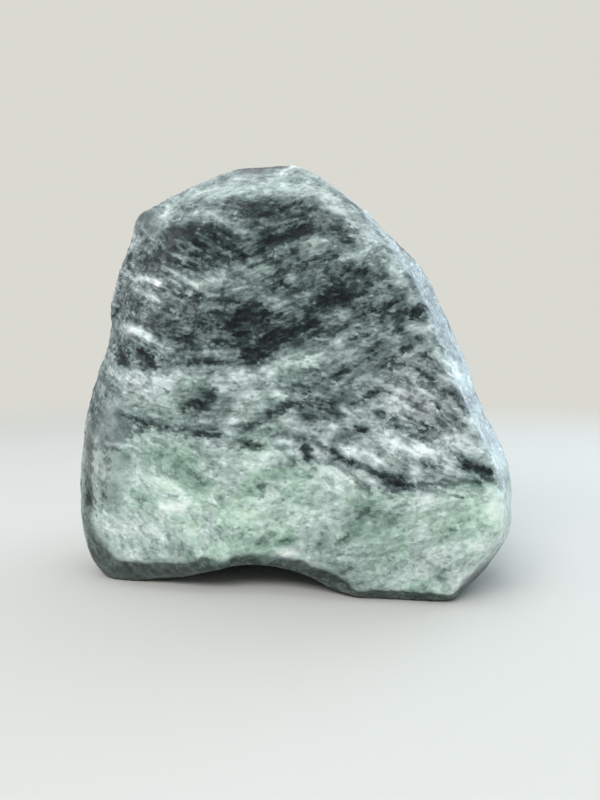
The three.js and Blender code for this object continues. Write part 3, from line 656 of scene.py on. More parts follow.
    ("tone", 0.12, 3.8, [(-86, -2, 162), (-81, -7, 149)]),
    ("tone", -0.16, 4.5, [(-68, -15, 160), (-59, -26, 151), (-61, -26, 145)]),
    ("tone", -0.10, 3.7, [(-33, -8, 188), (-25, -8, 192), (-14, -11, 192)]),
    ("tone", 0.14, 3.8, [(6, -29, 172), (18, -31, 167), (16, -33, 163)]),
    ("tone", 0.10, 3.7, [(-39, -33, 139), (-31, -35, 136)]),
    ("tone", 0.14, 3.2, [(-24, -37, 132), (-12, -39, 128)]),
    ("tone", 0.12, 2.7, [(18.1, -40.3, 134.4), (27.7, -41.2, 136.0)]),
    ("tone", 0.12, 4.5, [(18, -44, 118), (38, -46, 120)]),
    ("tone", 0.10, 5.3, [(-16, -44, 95), (-4, -46, 90)]),
    ("tone", 0.14, 2.4, [(-73.4, -29.6, 113.5), (-67.7, -33.7, 109.7)]),
    ("tone", 0.16, 2.6, [(4.7, -53.2, 60.3), (14.2, -54.4, 63.1)]),
    ("tone", 0.14, 3.2, [(-51, -44, 76), (-42, -45, 75)]),
    ("tone", 0.14, 4.6, [(-101, -13, 80), (-96, -26, 62), (-90, -35, 49)]),
    ("tone", -0.12, 3.2, [(-45, -42, 95), (-40, -43, 90)]),
    ("tone", -0.14, 3.4, [(-77, -31, 100), (-70, -35, 98)]),
    ("tone", -0.10, 5.8, [(-82, -42, 37), (-75, -46, 29)]),
    ("tone", -0.14, 4.4, [(16, -63, 14), (27, -66, 9)]),
    ("tone", -0.12, 3.9, [(41, -64, 34), (49, -64, 37)]),
    ("tone", -0.10, 4.0, [(5, -61, 16), (17, -64, 17)]),
    ("tone", -0.10, 3.5, [(-4, -53, 53), (5, -55, 49)]),
    ("tone", -0.20, 2.3, [(62.8, -34.7, 131.4), (66.2, -41.1, 117.6), (70.0, -40.8, 108.7), (75.0, -39.7, 99.8)]),
    ("tone", -0.14, 2.4, [(79.9, -39.0, 90.7), (89.0, -34.2, 76.5)]),
    ("tone", 0.08, 2.7, [(45.4, -41.1, 142.2), (52.3, -42.3, 135.9)]),
    ("tone", 0.16, 3.1, [(78, -68, 40), (88, -66, 42)]),
    ("tone", 0.14, 3.6, [(82, -69, 24), (91, -59, 24)]),
    ("green", -0.50, 7.4, [(-74, -8, 161), (-69, -6, 173), (-60, -6, 179)]),
    ("green", -0.50, 7.7, [(-81, -22, 115), (-79, -32, 91), (-54, -42, 88)]),
    ("green", -0.50, 7.3, [(-35, -8, 188), (-13, -16, 188)]),
    ("green", -0.40, 7.5, [(-55, -32, 133), (-33, -35, 135)]),
    ("green", -0.40, 6.2, [(21, -47, 103), (35, -48, 103)]),
    ("green", -0.40, 6.1, [(5, -50, 75), (3, -51, 68)]),
    ("green", 0.60, 8.3, [(-63, -44, 56), (-48, -48, 56)]),
    ("green", 0.60, 7.1, [(-36, -52, 37), (-17, -54, 37), (5, -57, 41)]),
    ("green", 0.50, 5.4, [(-43, -56, 16), (-12, -58, 15)]),
    ("green", 0.50, 7.0, [(63, -66, 35), (83, -69, 36)]),
    ("green", 0.50, 6.1, [(38, -65, 26), (48, -65, 23)]),
    ("green", 0.40, 3.8, [(5, -29, 171), (18, -31, 168)]),
    ("tone", -0.34, 2.8, [(64.3, -32.1, 131.6), (67.6, -38.7, 117.7), (72.2, -37.3, 108.8), (77.3, -36.0, 99.7)]),
    ("tone", -0.05, 2.3, [(51.8, -34.1, 144.9), (57.8, -41.8, 130.7), (60.6, -46.2, 120.0)]),
    ("tone", -0.20, 2.4, [(81.3, -37.5, 89.7), (91.2, -29.9, 76.1), (97.4, -26.0, 67.0)]),
    ("tone", -0.12, 3.0, [(100.6, -28.5, 62.6), (99.9, -39.6, 50.4)]),
    # painted reflection of the sky on the right shoulder
    ("tone", 0.24, 3.0, [(19.0, -16.5, 186.6), (29.6, -16.3, 177.4), (39.1, -17.2, 168.8), (48.3, -20.7, 157.9)]),
    ("tone", 0.10, 3.6, [(85, -68, 40), (92, -60, 37), (93, -56, 25), (84, -63, 18)]),
    ("tone", 0.12, 4.7, [(-101, -13, 78), (-96, -24, 67)]),
    ("tone", 0.10, 4.9, [(-84, -32, 77), (-82, -38, 55)]),
    ("tone", -0.12, 4.7, [(-36, -8, 187), (-25, -9, 190), (-14, -13, 190)]),
    ("tone", -0.10, 5.3, [(22, -65, 15), (35, -67, 7)]),
    ("tone", 0.10, 6.7, [(5, -30, 168), (21, -28, 171)]),
    ("tone", 0.08, 6.9, [(42, -55, 70), (60, -59, 67)]),
    ("tone", 0.10, 5.6, [(-82, -39, 50), (-67, -45, 47), (-53, -50, 42)]),
    ("tone", -0.10, 1.6, [(25.8, -29.5, 168.0), (35.7, -30.8, 159.7), (46.3, -34.0, 149.3), (53.7, -39.6, 138.0), (59.0, -45.1, 124.4)]),
    ("tone", -0.10, 1.5, [(66.6, -52.5, 95.8), (73.8, -55.7, 83.2), (77.8, -60.8, 69.3), (84.2, -62.8, 58.7)]),
    ("purple", 0.50, 6.9, [(-75, -3, 173), (-79, -6, 155), (-82, -14, 129)]),
    ("purple", 0.50, 7.0, [(-78, -25, 115), (-83, -25, 104)]),
    ("purple", 0.40, 6.5, [(-73, -35, 90), (-49, -43, 83)]),
    ("purple", 0.40, 5.3, [(-2, -49, 75), (8, -51, 71)]),
    ("green", -0.50, 5.4, [(-41, -52, 34), (-36, -53, 32)]),
    ("green", -0.40, 5.4, [(-48, -44, 77), (-37, -46, 74)]),
    ("green", -0.40, 4.4, [(81, -66, 51), (86, -65, 51)]),
    ("green", 0.50, 5.3, [(78, -67, 44), (88, -64, 46)]),
    ("green", 0.40, 6.0, [(28, -61, 44), (37, -62, 42), (43, -64, 32)]),
    ("green", 0.40, 5.3, [(47, -68, 5), (63, -70, 6)]),
    # painted reflection of the sky on the right shoulder
    ("tone", 0.26, 4.0, [(21, -17, 187), (31, -16, 179), (40, -18, 170)]),
    ("tone", 0.14, 2.9, [(39.3, -31.9, 155.9), (49.1, -28.0, 152.1)]),
    # painted reflection of the sky on the right shoulder
    ("tone", 0.12, 2.5, [(28.4, -18.3, 186.1), (38.9, -18.6, 175.9), (50.3, -19.1, 163.7)]),
    ("tone", -0.14, 2.2, [(61.7, -50.4, 105.2), (64.9, -52.5, 96.7)]),
    ("tone", -0.12, 2.6, [(80.0, -66.3, 50.1), (84.8, -67.2, 45.3)]),
    ("tone", -0.10, 2.4, [(95.3, -41.8, 57.8), (96.5, -47.2, 49.7)]),
    ("tone", -0.10, 4.7, [(-73, -40, 60), (-65, -41, 66), (-53, -46, 63)]),
    ("tone", -0.12, 3.1, [(-88.4, -10.3, 123.8), (-79.0, -22.5, 118.4)]),
    ("tone", -0.14, 2.7, [(-46.2, -43.9, 77.6), (-38.0, -44.8, 77.7)]),
    ("tone", -0.14, 2.2, [(19.6, -48.2, 93.0), (23.9, -48.3, 96.5)]),
    ("tone", -0.10, 2.6, [(45.4, -50.8, 94.0), (53.9, -51.7, 94.9)]),
    ("tone", -0.10, 2.6, [(49.1, -57.0, 66.2), (57.4, -57.9, 68.0)]),
    ("tone", -0.10, 4.6, [(-31, -16, 183), (-13, -20, 184)]),
    ("tone", -0.14, 3.0, [(-53.6, -16.7, 170.8), (-45.1, -21.6, 171.5)]),
    ("tone", -0.12, 2.3, [(14.6, -34.3, 158.1), (19.1, -34.3, 159.9)]),
    ("tone", -0.12, 2.3, [(15.4, -38.8, 139.8), (21.6, -39.4, 141.5)]),
    ("tone", -0.12, 2.3, [(-30.5, -35.5, 134.0), (-25.0, -36.2, 134.8)]),
    ("tone", -0.12, 3.1, [(-101.9, -16.9, 60.7), (-95.1, -32.3, 44.1)]),
    ("tone", -0.08, 4.4, [(-85, -42, 9), (-74, -48, 13)]),
    ("tone", 0.14, 2.5, [(-39.9, -24.6, 171.3), (-31.2, -27.0, 171.7)]),
    ("tone", 0.14, 2.6, [(26.4, -51.8, 79.3), (35.8, -53.1, 76.9)]),
    ("tone", 0.14, 2.2, [(72.4, -58.1, 79.2), (76.6, -58.3, 75.8)]),
    ("tone", 0.14, 3.1, [(69, -61, 67), (81, -63, 61)]),
    ("tone", 0.12, 2.6, [(5.6, -52.7, 62.9), (15.9, -55.8, 59.9)]),
    ("tone", 0.12, 3.0, [(37, -62, 44), (45, -63, 38)]),
    ("tone", 0.10, 3.5, [(77, -68, 35), (85, -68, 39)]),
    ("tone", 0.08, 2.8, [(92.9, -55.1, 49.3), (96.7, -51.7, 35.1), (96.6, -49.2, 22.6)]),
    ("tone", 0.10, 3.1, [(-14, -44, 98), (-6, -46, 89)]),
    ("tone", 0.14, 2.3, [(-35.4, -42.9, 90.1), (-30.9, -43.7, 86.5)]),
    ("tone", 0.12, 2.7, [(-29.8, -46.5, 72.5), (-21.8, -47.6, 67.3)]),
    ("tone", 0.14, 2.7, [(-87.0, -3.0, 149.1), (-89.0, -4.3, 135.1)]),
    ("tone", 0.10, 2.6, [(21.7, -59.4, 48.5), (26.8, -60.6, 45.3)]),
    ("tone", 0.14, 2.7, [(62.9, -69.4, 3.5), (76.1, -60.8, 1.6)]),
    ("tone", 0.14, 4.3, [(-52, -31, 138), (-43, -33, 136)]),
    ("tone", 0.10, 4.9, [(49, -18, 159), (38, -26, 162)]),
    ("tone", 0.10, 5.5, [(-62, -49, 28), (-43, -54, 27)]),
    ("tone", 0.08, 7.1, [(-26, -54, 36), (5, -59, 33)]),
    ("green", 0.40, 5.2, [(-15, -52, 51), (12, -57, 50)]),
    ("green", 0.50, 4.8, [(-77, -44, 37), (-70, -46, 38)]),
    ("green", 0.50, 4.6, [(-51, -52, 32), (-43, -54, 26)]),
    ("green", 0.40, 5.4, [(-41, -57, 13), (-12, -58, 15)]),
    ("green", 0.40, 4.4, [(-7, -57, 25), (0, -59, 26)]),
    ("green", 0.40, 4.3, [(45, -64, 33), (52, -64, 36)]),
    ("green", 0.20, 4.0, [(82, -67, 47), (88, -66, 43)]),
    ("green", 0.40, 4.4, [(76, -69, 26), (83, -69, 27)]),
    ("green", -0.50, 6.0, [(-97, -24, 62), (-90, -35, 49)]),
    ("green", -0.50, 4.8, [(-79, -38, 59), (-73, -41, 57)]),
    ("green", -0.50, 4.5, [(-34, -49, 60), (-27, -50, 58)]),
    ("green", -0.50, 3.5, [(-10, -53, 46), (-6, -54, 46)]),
    ("green", -0.50, 3.6, [(-44, -52, 36), (-36, -53, 33)]),
    ("green", -0.50, 4.4, [(25, -65, 7), (31, -66, 10)]),
    ("green", -0.40, 3.5, [(42, -62, 42), (45, -63, 42)]),
    ("green", -0.40, 3.5, [(43, -66, 19), (47, -66, 19)]),
    ("calm", 0.60, 6.8, [(-86, -33, 71), (-80, -38, 58), (-81, -41, 42)]),
    ("tone", -0.06, 3.2, [(-73.9, -4.8, 171.4), (-68.3, -11.9, 165.2)]),
    ("tone", 0.05, 4.7, [(-70, -37, 88), (-53, -42, 86)]),
    ("tone", 0.08, 5.8, [(0, -28, 174), (17, -29, 171)]),
    ("tone", -0.12, 2.6, [(7.4, -49.0, 80.8), (17.8, -50.6, 79.2)]),
    ("tone", -0.12, 2.6, [(26.7, -60.9, 43.7), (42.6, -62.1, 44.8)]),
    ("tone", -0.12, 2.6, [(42.6, -63.5, 35.8), (50.8, -64.3, 34.3)]),
    ("tone", -0.12, 3.1, [(24, -65, 10), (34, -67, 6)]),
    ("tone", -0.09, 3.3, [(-74, -40, 57), (-67, -44, 51)]),
    ("tone", -0.09, 2.7, [(-57.7, -46.9, 50.1), (-41.1, -50.1, 47.2)]),
    ("tone", -0.12, 2.2, [(-27.6, -53.1, 37.3), (-23.2, -53.9, 34.8)]),
    ("tone", -0.12, 2.4, [(17.6, -26.8, 174.0), (28.5, -29.9, 166.1)]),
    ("tone", -0.08, 2.4, [(4.7, -25.1, 178.9), (10.3, -26.0, 176.9)]),
    ("tone", 0.14, 2.4, [(95.7, -52.7, 40.7), (98.1, -47.3, 23.8)]),
    ("tone", 0.10, 3.5, [(38, -52, 83), (49, -54, 78)]),
    ("tone", 0.08, 3.5, [(48, -52, 87), (58, -55, 82)]),
    ("tone", 0.14, 3.1, [(-102.6, -14.7, 65.4), (-91.5, -30.0, 63.7)]),
    ("tone", 0.10, 2.9, [(-81.2, -35.2, 70.1), (-75.9, -38.3, 64.1)]),
    ("tone", 0.12, 2.6, [(-9.3, -49.6, 62.3), (3.9, -52.0, 64.5)]),
    ("tone", 0.08, 4.5, [(-37, -41, 105), (-22, -42, 100)]),
    ("tone", 0.12, 2.2, [(-14.7, -46.4, 77.9), (-7.6, -47.7, 74.5)]),
    ("tone", 0.12, 2.2, [(0.3, -48.7, 77.2), (4.7, -49.7, 75.6)]),
    ("tone", -0.15, 0.9, [(70.1, -42.6, 106.1), (74.7, -44.5, 94.6)]),
    ("tone", -0.15, 0.9, [(75.9, -47.4, 89.5), (80.5, -50.7, 78.3)]),
    ("tone", -0.15, 0.9, [(86.1, -43.9, 72.2), (89.4, -48.8, 62.2)]),
    ("tone", -0.14, 0.9, [(52.6, -29.1, 148.3), (58.7, -37.1, 134.7)]),
    ("tone", -0.14, 1.0, [(57.4, -26.2, 145.9), (63.6, -35.4, 129.5)]),
    ("tone", -0.14, 1.0, [(37.9, -27.5, 161.2), (47.1, -28.8, 152.8)]),
    ("tone", -0.14, 1.0, [(25.1, -25.1, 173.5), (33.3, -27.3, 165.8)]),
    ("tone", 0.20, 0.9, [(72.3, -41.2, 103.4), (76.9, -43.1, 91.9)]),
    ("tone", 0.20, 1.0, [(77.4, -33.8, 102.4), (83.4, -33.0, 90.4)]),
    ("tone", 0.22, 0.9, [(77.1, -49.5, 85.2), (81.2, -54.6, 73.6)]),
    ("tone", 0.20, 0.9, [(84.5, -43.1, 76.6), (89.9, -44.1, 65.0)]),
    ("tone", 0.18, 0.9, [(65.4, -40.6, 120.3), (70.0, -40.8, 108.7)]),
    ("tone", 0.18, 1.0, [(50.0, -28.4, 151.1), (56.8, -31.9, 141.6)]),
    ("tone", 0.18, 1.0, [(28.9, -24.7, 171.7), (39.1, -25.3, 162.5)]),
    ("tone", -0.20, 3.0, [(6, -52, 65), (9, -54, 60)]),
    ("tone", -0.12, 2.6, [(7.3, -54.3, 57.9), (17.6, -56.8, 57.5)]),
    ("tone", -0.14, 3.1, [(-1, -59, 23), (5, -60, 23)]),
    ("tone", -0.16, 2.4, [(-48.3, -32.3, 135.2), (-42.6, -34.1, 131.4)]),
    ("tone", -0.14, 2.9, [(-38.3, -30.5, 155.2), (-34.5, -31.9, 150.5)]),
    ("tone", -0.10, 2.4, [(-37.3, -32.0, 145.1), (-35.4, -32.6, 143.3)]),
    ("tone", -0.12, 2.3, [(-2.5, -34.3, 153.7), (2.9, -34.3, 154.6)]),
    ("tone", -0.10, 2.3, [(15.6, -32.4, 163.8), (17.3, -35.2, 156.2)]),
    ("tone", -0.12, 3.4, [(4, -26, 178), (12, -27, 174)]),
    ("tone", -0.12, 2.8, [(-51.6, -35.8, 117.8), (-47.8, -36.3, 118.7)]),
    ("tone", -0.12, 3.0, [(-84.0, -15.0, 123.5), (-75.8, -23.7, 122.1)]),
    ("tone", -0.14, 2.7, [(-7.6, -45.8, 87.6), (0.3, -46.4, 88.5)]),
    ("tone", -0.12, 2.2, [(39.5, -48.0, 108.7), (43.8, -48.7, 107.0)]),
    ("tone", -0.12, 2.2, [(4.7, -43.4, 108.7), (8.3, -43.6, 110.5)]),
    ("tone", -0.14, 2.6, [(58.5, -55.8, 78.9), (66.6, -57.6, 79.1)]),
    ("tone", -0.12, 2.2, [(47.1, -51.2, 92.3), (53.0, -52.1, 92.4)]),
    ("tone", -0.16, 2.5, [(-95.6, -30.3, 48.5), (-88.9, -36.7, 46.1)]),
    ("tone", -0.12, 2.8, [(-59.1, -50.4, 27.5), (-47.0, -53.9, 22.3)]),
    ("tone", -0.08, 3.1, [(-20, -52, 46), (-18, -54, 39)]),
    ("tone", -0.10, 2.2, [(31.7, -63.4, 31.5), (35.9, -63.6, 31.5)]),
    ("tone", -0.10, 2.2, [(35.4, -44.1, 127.9), (39.7, -45.0, 127.0)]),
    ("tone", -0.12, 2.2, [(-24.7, -42.2, 99.9), (-20.2, -42.7, 99.9)]),
    ("tone", -0.10, 2.2, [(-30.9, -44.1, 84.8), (-26.4, -44.5, 84.8)]),
    ("tone", -0.10, 2.2, [(34.2, -51.8, 82.8), (39.3, -51.9, 83.7)]),
    ("tone", -0.09, 3.0, [(-84.7, -24.4, 99.4), (-77.0, -31.4, 97.7)]),
    ("tone", -0.14, 2.3, [(63.7, -39.7, 124.8), (67.1, -41.4, 114.9)]),
    ("tone", -0.12, 2.5, [(97.2, -36.0, 60.0), (101.4, -35.2, 52.4)]),
    ("tone", -0.12, 2.2, [(71.7, -69.7, 14.8), (76.7, -69.2, 18.0)]),
    ("tone", -0.12, 3.7, [(-76, -3, 173), (-67, -12, 166)]),
    # painted reflection of the sky on the right shoulder
    ("tone", 0.25, 4.0, [(27, -17, 184), (36, -17, 174)]),
    ("tone", 0.20, 2.8, [(-21.6, -32.2, 161.2), (-10.6, -33.8, 156.5)]),
    ("tone", 0.14, 2.5, [(-52.5, -22.8, 164.9), (-40.2, -29.0, 161.8)]),
    ("tone", 0.16, 2.3, [(-2.4, -40.0, 126.5), (5.6, -40.1, 130.0)]),
    ("tone", 0.14, 3.6, [(-32, -39, 114), (-24, -41, 108)]),
    ("tone", 0.12, 2.4, [(-60.3, -33.2, 119.7), (-55.5, -34.5, 119.7)]),
    ("tone", 0.16, 2.2, [(-0.6, -44.1, 99.9), (10.0, -45.7, 98.2)]),
    ("tone", 0.20, 4.0, [(-22, -46, 75), (-12, -48, 67)]),
    ("tone", 0.18, 2.2, [(-0.5, -48.0, 80.7), (7.4, -48.6, 82.5)]),
    ("tone", 0.12, 2.6, [(-2.3, -48.9, 72.8), (9.1, -51.2, 71.4)]),
    ("tone", 0.18, 2.6, [(53.6, -62.0, 49.1), (68.9, -64.5, 48.8)]),
    ("tone", 0.12, 2.6, [(38.5, -61.5, 46.4), (43.5, -62.1, 44.9)]),
    ("tone", 0.12, 2.6, [(26.1, -56.7, 61.8), (31.1, -59.1, 54.5)]),
    ("tone", 0.12, 2.7, [(47.7, -43.4, 136.7), (53.5, -46.4, 126.9)]),
    ("tone", 0.12, 2.7, [(55.8, -42.9, 131.5), (61.9, -44.0, 121.9)]),
    ("tone", 0.12, 2.2, [(37.0, -46.9, 113.0), (42.2, -47.3, 114.8)]),
    ("tone", 0.12, 2.3, [(21.6, -41.3, 131.7), (31.2, -42.1, 134.2)]),
    ("tone", 0.10, 2.8, [(-38.9, -34.0, 134.1), (-33.2, -36.6, 127.6)]),
    ("tone", 0.12, 3.0, [(-13.0, -23.1, 180.3), (-3.6, -25.0, 178.9)]),
    ("tone", 0.12, 2.7, [(-38.7, -56.7, 15.2), (-33.5, -57.2, 15.3)]),
    ("tone", 0.12, 2.7, [(62.8, -69.7, 4.5), (77.1, -60.3, 2.3)]),
    ("tone", 0.12, 2.4, [(95.6, -53.2, 39.9), (97.7, -48.4, 25.1)]),
    ("tone", 0.10, 3.1, [(77, -67, 43), (83, -69, 36)]),
    ("tone", 0.10, 3.1, [(58, -66, 23), (68, -68, 26)]),
    ("tone", 0.14, 2.7, [(-87.7, -4.4, 142.0), (-88.9, -4.5, 134.1)]),
    ("tone", 0.10, 2.3, [(-47.2, -43.0, 82.9), (-42.6, -43.5, 82.0)]),
    ("tone", 0.12, 2.4, [(-71.0, -38.0, 79.7), (-65.0, -39.8, 80.8)]),
    ("tone", 0.10, 3.1, [(-101.6, -14.2, 70.3), (-94.2, -27.8, 62.4)]),
    ("green", 0.40, 5.6, [(-72, -45, 39), (-57, -49, 39), (-43, -53, 33)]),
    ("green", 0.40, 4.1, [(-48, -54, 20), (-42, -55, 21)]),
    ("green", 0.40, 3.9, [(68, -65, 45), (74, -66, 46)]),
    ("green", 0.40, 5.3, [(37, -66, 14), (48, -68, 8), (63, -69, 2)]),
    ("green", -0.50, 5.0, [(-95, -27, 59), (-89, -35, 50)]),
    ("green", -0.40, 4.3, [(-80, -38, 58), (-74, -40, 59)]),
    ("green", -0.40, 4.0, [(-33, -49, 59), (-28, -49, 59)]),
    ("green", -0.50, 4.0, [(26, -66, 8), (31, -66, 9)]),
    ("green", -0.40, 4.5, [(86, -68, 41), (93, -60, 38)]),
    ("tone", -0.08, 3.7, [(-63, -39, 90), (-51, -42, 88)]),
    ("tone", 0.06, 2.2, [(51.0, -62.0, 47.8), (63.3, -63.6, 47.8), (72.1, -65.0, 49.4)]),
    ("tone", -0.25, 1.6, [(-24.9, -4.6, 195.6), (-13.9, -7.6, 196.2)]),
    ("tone", -0.20, 2.2, [(-11.2, -47.6, 70.9), (-5.0, -48.3, 72.8)]),
    ("tone", -0.12, 2.2, [(-15.6, -45.6, 84.0), (-7.6, -46.1, 85.8)]),
    ("tone", -0.12, 2.2, [(-2.3, -51.0, 62.6), (2.1, -52.8, 59.3)]),
    ("tone", -0.12, 2.2, [(9.0, -60.6, 27.1), (12.4, -61.8, 24.9)]),
    ("tone", -0.12, 2.2, [(48.7, -60.6, 53.1), (52.0, -61.1, 52.3)]),
    ("tone", -0.14, 1.7, [(32.6, -61.2, 45.5), (36.8, -61.5, 45.6)]),
    ("tone", -0.08, 3.0, [(-87.7, -40.8, 8.5), (-67.3, -48.3, 5.7)]),
    ("tone", -0.08, 2.3, [(-61.7, -51.9, 12.5), (-46.9, -55.2, 13.7)]),
    ("tone", -0.12, 2.8, [(-46.4, -33.2, 132.4), (-37.9, -34.9, 131.4)]),
    ("tone", -0.12, 2.2, [(-8.6, -42.6, 106.1), (-3.3, -42.7, 107.8)]),
    ("tone", -0.12, 2.2, [(-2.4, -40.8, 121.2), (2.1, -41.2, 122.9)]),
    ("tone", -0.10, 2.2, [(10.0, -42.5, 120.2), (15.3, -42.7, 121.9)]),
    ("tone", -0.10, 2.2, [(48.8, -51.3, 93.2), (53.8, -52.4, 91.5)]),
    ("tone", -0.12, 2.2, [(22.2, -48.4, 94.8), (30.0, -48.7, 99.1)]),
    ("tone", -0.12, 2.6, [(59.0, -58.7, 66.4), (67.8, -60.4, 67.6)]),
    ("tone", -0.10, 2.2, [(70.2, -61.2, 66.0), (74.1, -62.4, 63.6)]),
    ("tone", -0.12, 2.3, [(80.4, -57.3, 72.2), (89.9, -44.1, 65.0)]),
    ("tone", -0.12, 2.5, [(-97.1, -29.1, 46.3), (-90.0, -36.2, 45.0)]),
    ("tone", -0.12, 2.3, [(27.1, -36.1, 156.0), (32.4, -37.4, 152.3)]),
    ("tone", -0.12, 2.4, [(-2.6, -29.2, 170.7), (4.7, -28.6, 171.8)]),
    ("tone", -0.10, 2.4, [(-28.0, -31.9, 158.6), (-22.4, -33.1, 156.6)]),
    ("tone", -0.12, 2.3, [(-6.1, -34.7, 151.9), (2.0, -34.3, 154.6)]),
    ("tone", -0.10, 3.2, [(-54.9, -4.0, 183.2), (-41.9, -10.9, 182.5)]),
    ("tone", -0.10, 2.3, [(11.9, -38.8, 138.1), (19.0, -39.5, 138.9)]),
    ("tone", -0.10, 2.3, [(36.5, -40.9, 143.9), (42.8, -40.0, 144.9)]),
    ("tone", -0.10, 2.9, [(-78.4, -29.3, 101.4), (-65.3, -37.1, 98.8)]),
    ("tone", -0.10, 2.4, [(-83.3, -30.0, 86.4), (-72.1, -36.6, 86.0)]),
    ("tone", -0.12, 2.2, [(-26.4, -45.1, 81.3), (-23.6, -46.2, 75.2)]),
    ("tone", -0.10, 2.3, [(-40.7, -44.7, 76.8), (-34.4, -45.1, 77.7)]),
    # painted reflection of the sky on the right shoulder
    ("tone", 0.20, 3.0, [(20.0, -15.9, 187.7), (29.5, -17.0, 180.0), (36.2, -16.7, 173.6)]),
    ("tone", 0.14, 2.9, [(39.6, -29.0, 158.2), (53.6, -23.3, 151.9)]),
    ("tone", 0.14, 2.3, [(51.6, -35.8, 143.7), (57.0, -36.3, 137.5)]),
    ("tone", 0.14, 2.3, [(59.4, -43.0, 127.2), (61.9, -44.0, 121.9)]),
    ("tone", 0.12, 2.2, [(44.8, -47.0, 119.1), (50.7, -47.6, 120.8)]),
    ("tone", 0.12, 2.3, [(10.1, -40.3, 130.9), (15.4, -40.8, 130.8)]),
    ("tone", 0.12, 2.3, [(5.6, -33.3, 159.2), (11.0, -33.9, 158.2)]),
    ("tone", 0.12, 2.8, [(18.2, -35.9, 154.3), (25.2, -38.1, 149.6)]),
    ("tone", 0.12, 2.3, [(24.3, -39.2, 144.2), (29.6, -40.0, 144.0)]),
    ("tone", 0.10, 3.3, [(-24, -34, 150), (-21, -35, 145)]),
    ("tone", 0.10, 2.3, [(-38.6, -36.8, 123.2), (-33.1, -37.6, 123.1)]),
    ("tone", 0.10, 2.4, [(-65.5, -35.7, 105.1), (-60.6, -37.3, 104.3)]),
    ("tone", 0.10, 2.3, [(-49.1, -40.5, 100.7), (-43.6, -41.4, 98.0)]),
    ("tone", 0.14, 2.2, [(16.0, -51.0, 76.6), (19.5, -52.5, 72.4)]),
    ("tone", 0.14, 2.2, [(18.6, -53.3, 69.1), (21.9, -54.6, 66.6)]),
    ("tone", 0.14, 1.7, [(31.0, -60.0, 50.4), (34.4, -60.3, 50.4)]),
    ("tone", 0.12, 2.2, [(63.6, -61.4, 59.2), (67.6, -62.4, 57.7)]),
    ("tone", 0.10, 2.2, [(76.1, -65.6, 49.9), (79.9, -66.7, 47.7)]),
    ("tone", 0.12, 2.2, [(40.1, -62.6, 40.7), (45.1, -63.0, 39.9)]),
    ("tone", 0.08, 3.1, [(59, -66, 24), (65, -67, 26)]),
    ("tone", 0.08, 3.1, [(71, -68, 33), (76, -68, 35)]),
    ("tone", 0.10, 2.3, [(-38.7, -56.7, 15.2), (-21.3, -57.2, 16.3)]),
    ("tone", 0.12, 2.3, [(63.0, -68.8, 2.4), (77.8, -60.9, 0.8)]),
    ("tone", 0.10, 2.8, [(84.5, -60.1, 14.6), (93.7, -50.6, 13.9)]),
    ("green", -0.40, 4.8, [(-81, -42, 37), (-74, -44, 38)]),
    ("green", -0.40, 4.6, [(-57, -49, 39), (-50, -51, 37)]),
    ("green", -0.30, 5.7, [(-23, -32, 162), (-18, -33, 158)]),
    ("green", 0.30, 4.7, [(86, -68, 36), (98, -45, 19)]),
    ("calm", 0.80, 4.5, [(-99, -35, 12), (-88, -40, 5), (-76, -45, 4)]),
    ("calm", 0.50, 4.7, [(-67, -49, 7), (-39, -55, 8)]),
    ("calm", -0.60, 3.5, [(30, -16, 183), (47, -18, 164), (59, -29, 141)]),
    ("calm", -0.60, 2.7, [(63.1, -38.2, 127.5), (69.7, -42.2, 107.4), (77.4, -48.7, 85.6), (85.1, -50.6, 68.7), (87.7, -63.0, 51.9)]),
    ("tone", 0.10, 3.0, [(-89.7, -39.8, 14.8), (-80.8, -44.8, 9.9)]),
    ("tone", -0.10, 2.0, [(-96.4, -36.8, 10.9), (-93.7, -36.9, 7.1)]),
    # painted shade along the left base; the next mark takes some off again
    ("damp_shade", 0.70, 2.9, [(-94.5, -37.5, 4.4), (-77.6, -44.1, 1.2), (-58.7, -47.1, -0.4), (-39.4, -53.2, 6.7)]),
    ("damp_shade", -0.50, 1.8, [(26.7, -65.1, 4.3), (34.2, -65.6, 2.8)]),
    ("tone", 0.10, 2.3, [(67.9, -69.3, 3.5), (77.1, -63.0, 6.9)]),
    ("tone", 0.10, 2.8, [(90.0, -63.0, 42.5), (95.1, -52.2, 24.0)]),
    ("tone", 0.08, 2.7, [(-89.7, -4.6, 142.0), (-88.9, -4.5, 134.1)]),
    ("calm", 0.40, 3.9, [(-13, -26, 176), (5, -27, 175), (23, -28, 171)]),
    ("purple", 0.40, 2.6, [(55.2, -61.8, 50.8), (68.2, -64.0, 50.4)]),
    ("calm", -0.60, 6.8, [(-83, -24, 105), (-63, -37, 101)]),
    ("calm", -0.60, 4.1, [(-78, -6, 158), (-80, -14, 134), (-82, -19, 119)]),
    ("calm", -0.60, 11.4, [(48, -51, 92), (62, -58, 74)]),
    ("calm", -0.40, 6.6, [(-55, -32, 133), (-41, -35, 128)]),
    ("calm", -0.30, 6.1, [(41, -57, 64), (67, -61, 63)]),
    ("calm", -0.40, 3.6, [(-15, -40, 114), (-18, -42, 104)]),
    ("calm", 0.50, 4.9, [(-94, -30, 57), (-85, -39, 46)]),
    ("purple", 0.40, 6.1, [(50, -52, 91), (64, -58, 76)]),
    ("purple", 0.30, 6.5, [(-50, -34, 128), (-31, -39, 118)]),
    # the next three light marks are painted highlights along the same ledge edges
    ("tone", 0.22, 1.7, [(-72.9, -18.6, 139.9), (-66.5, -25.4, 137.8), (-60.9, -29.2, 135.5)]),
    ("tone", 0.16, 1.5, [(-73.5, -20.5, 134.1), (-67.1, -27.1, 131.1), (-61.7, -30.4, 128.6)]),
    ("tone", 0.14, 2.4, [(-78.8, -23.5, 116.9), (-71.2, -30.8, 113.9), (-63.7, -35.2, 109.7)]),
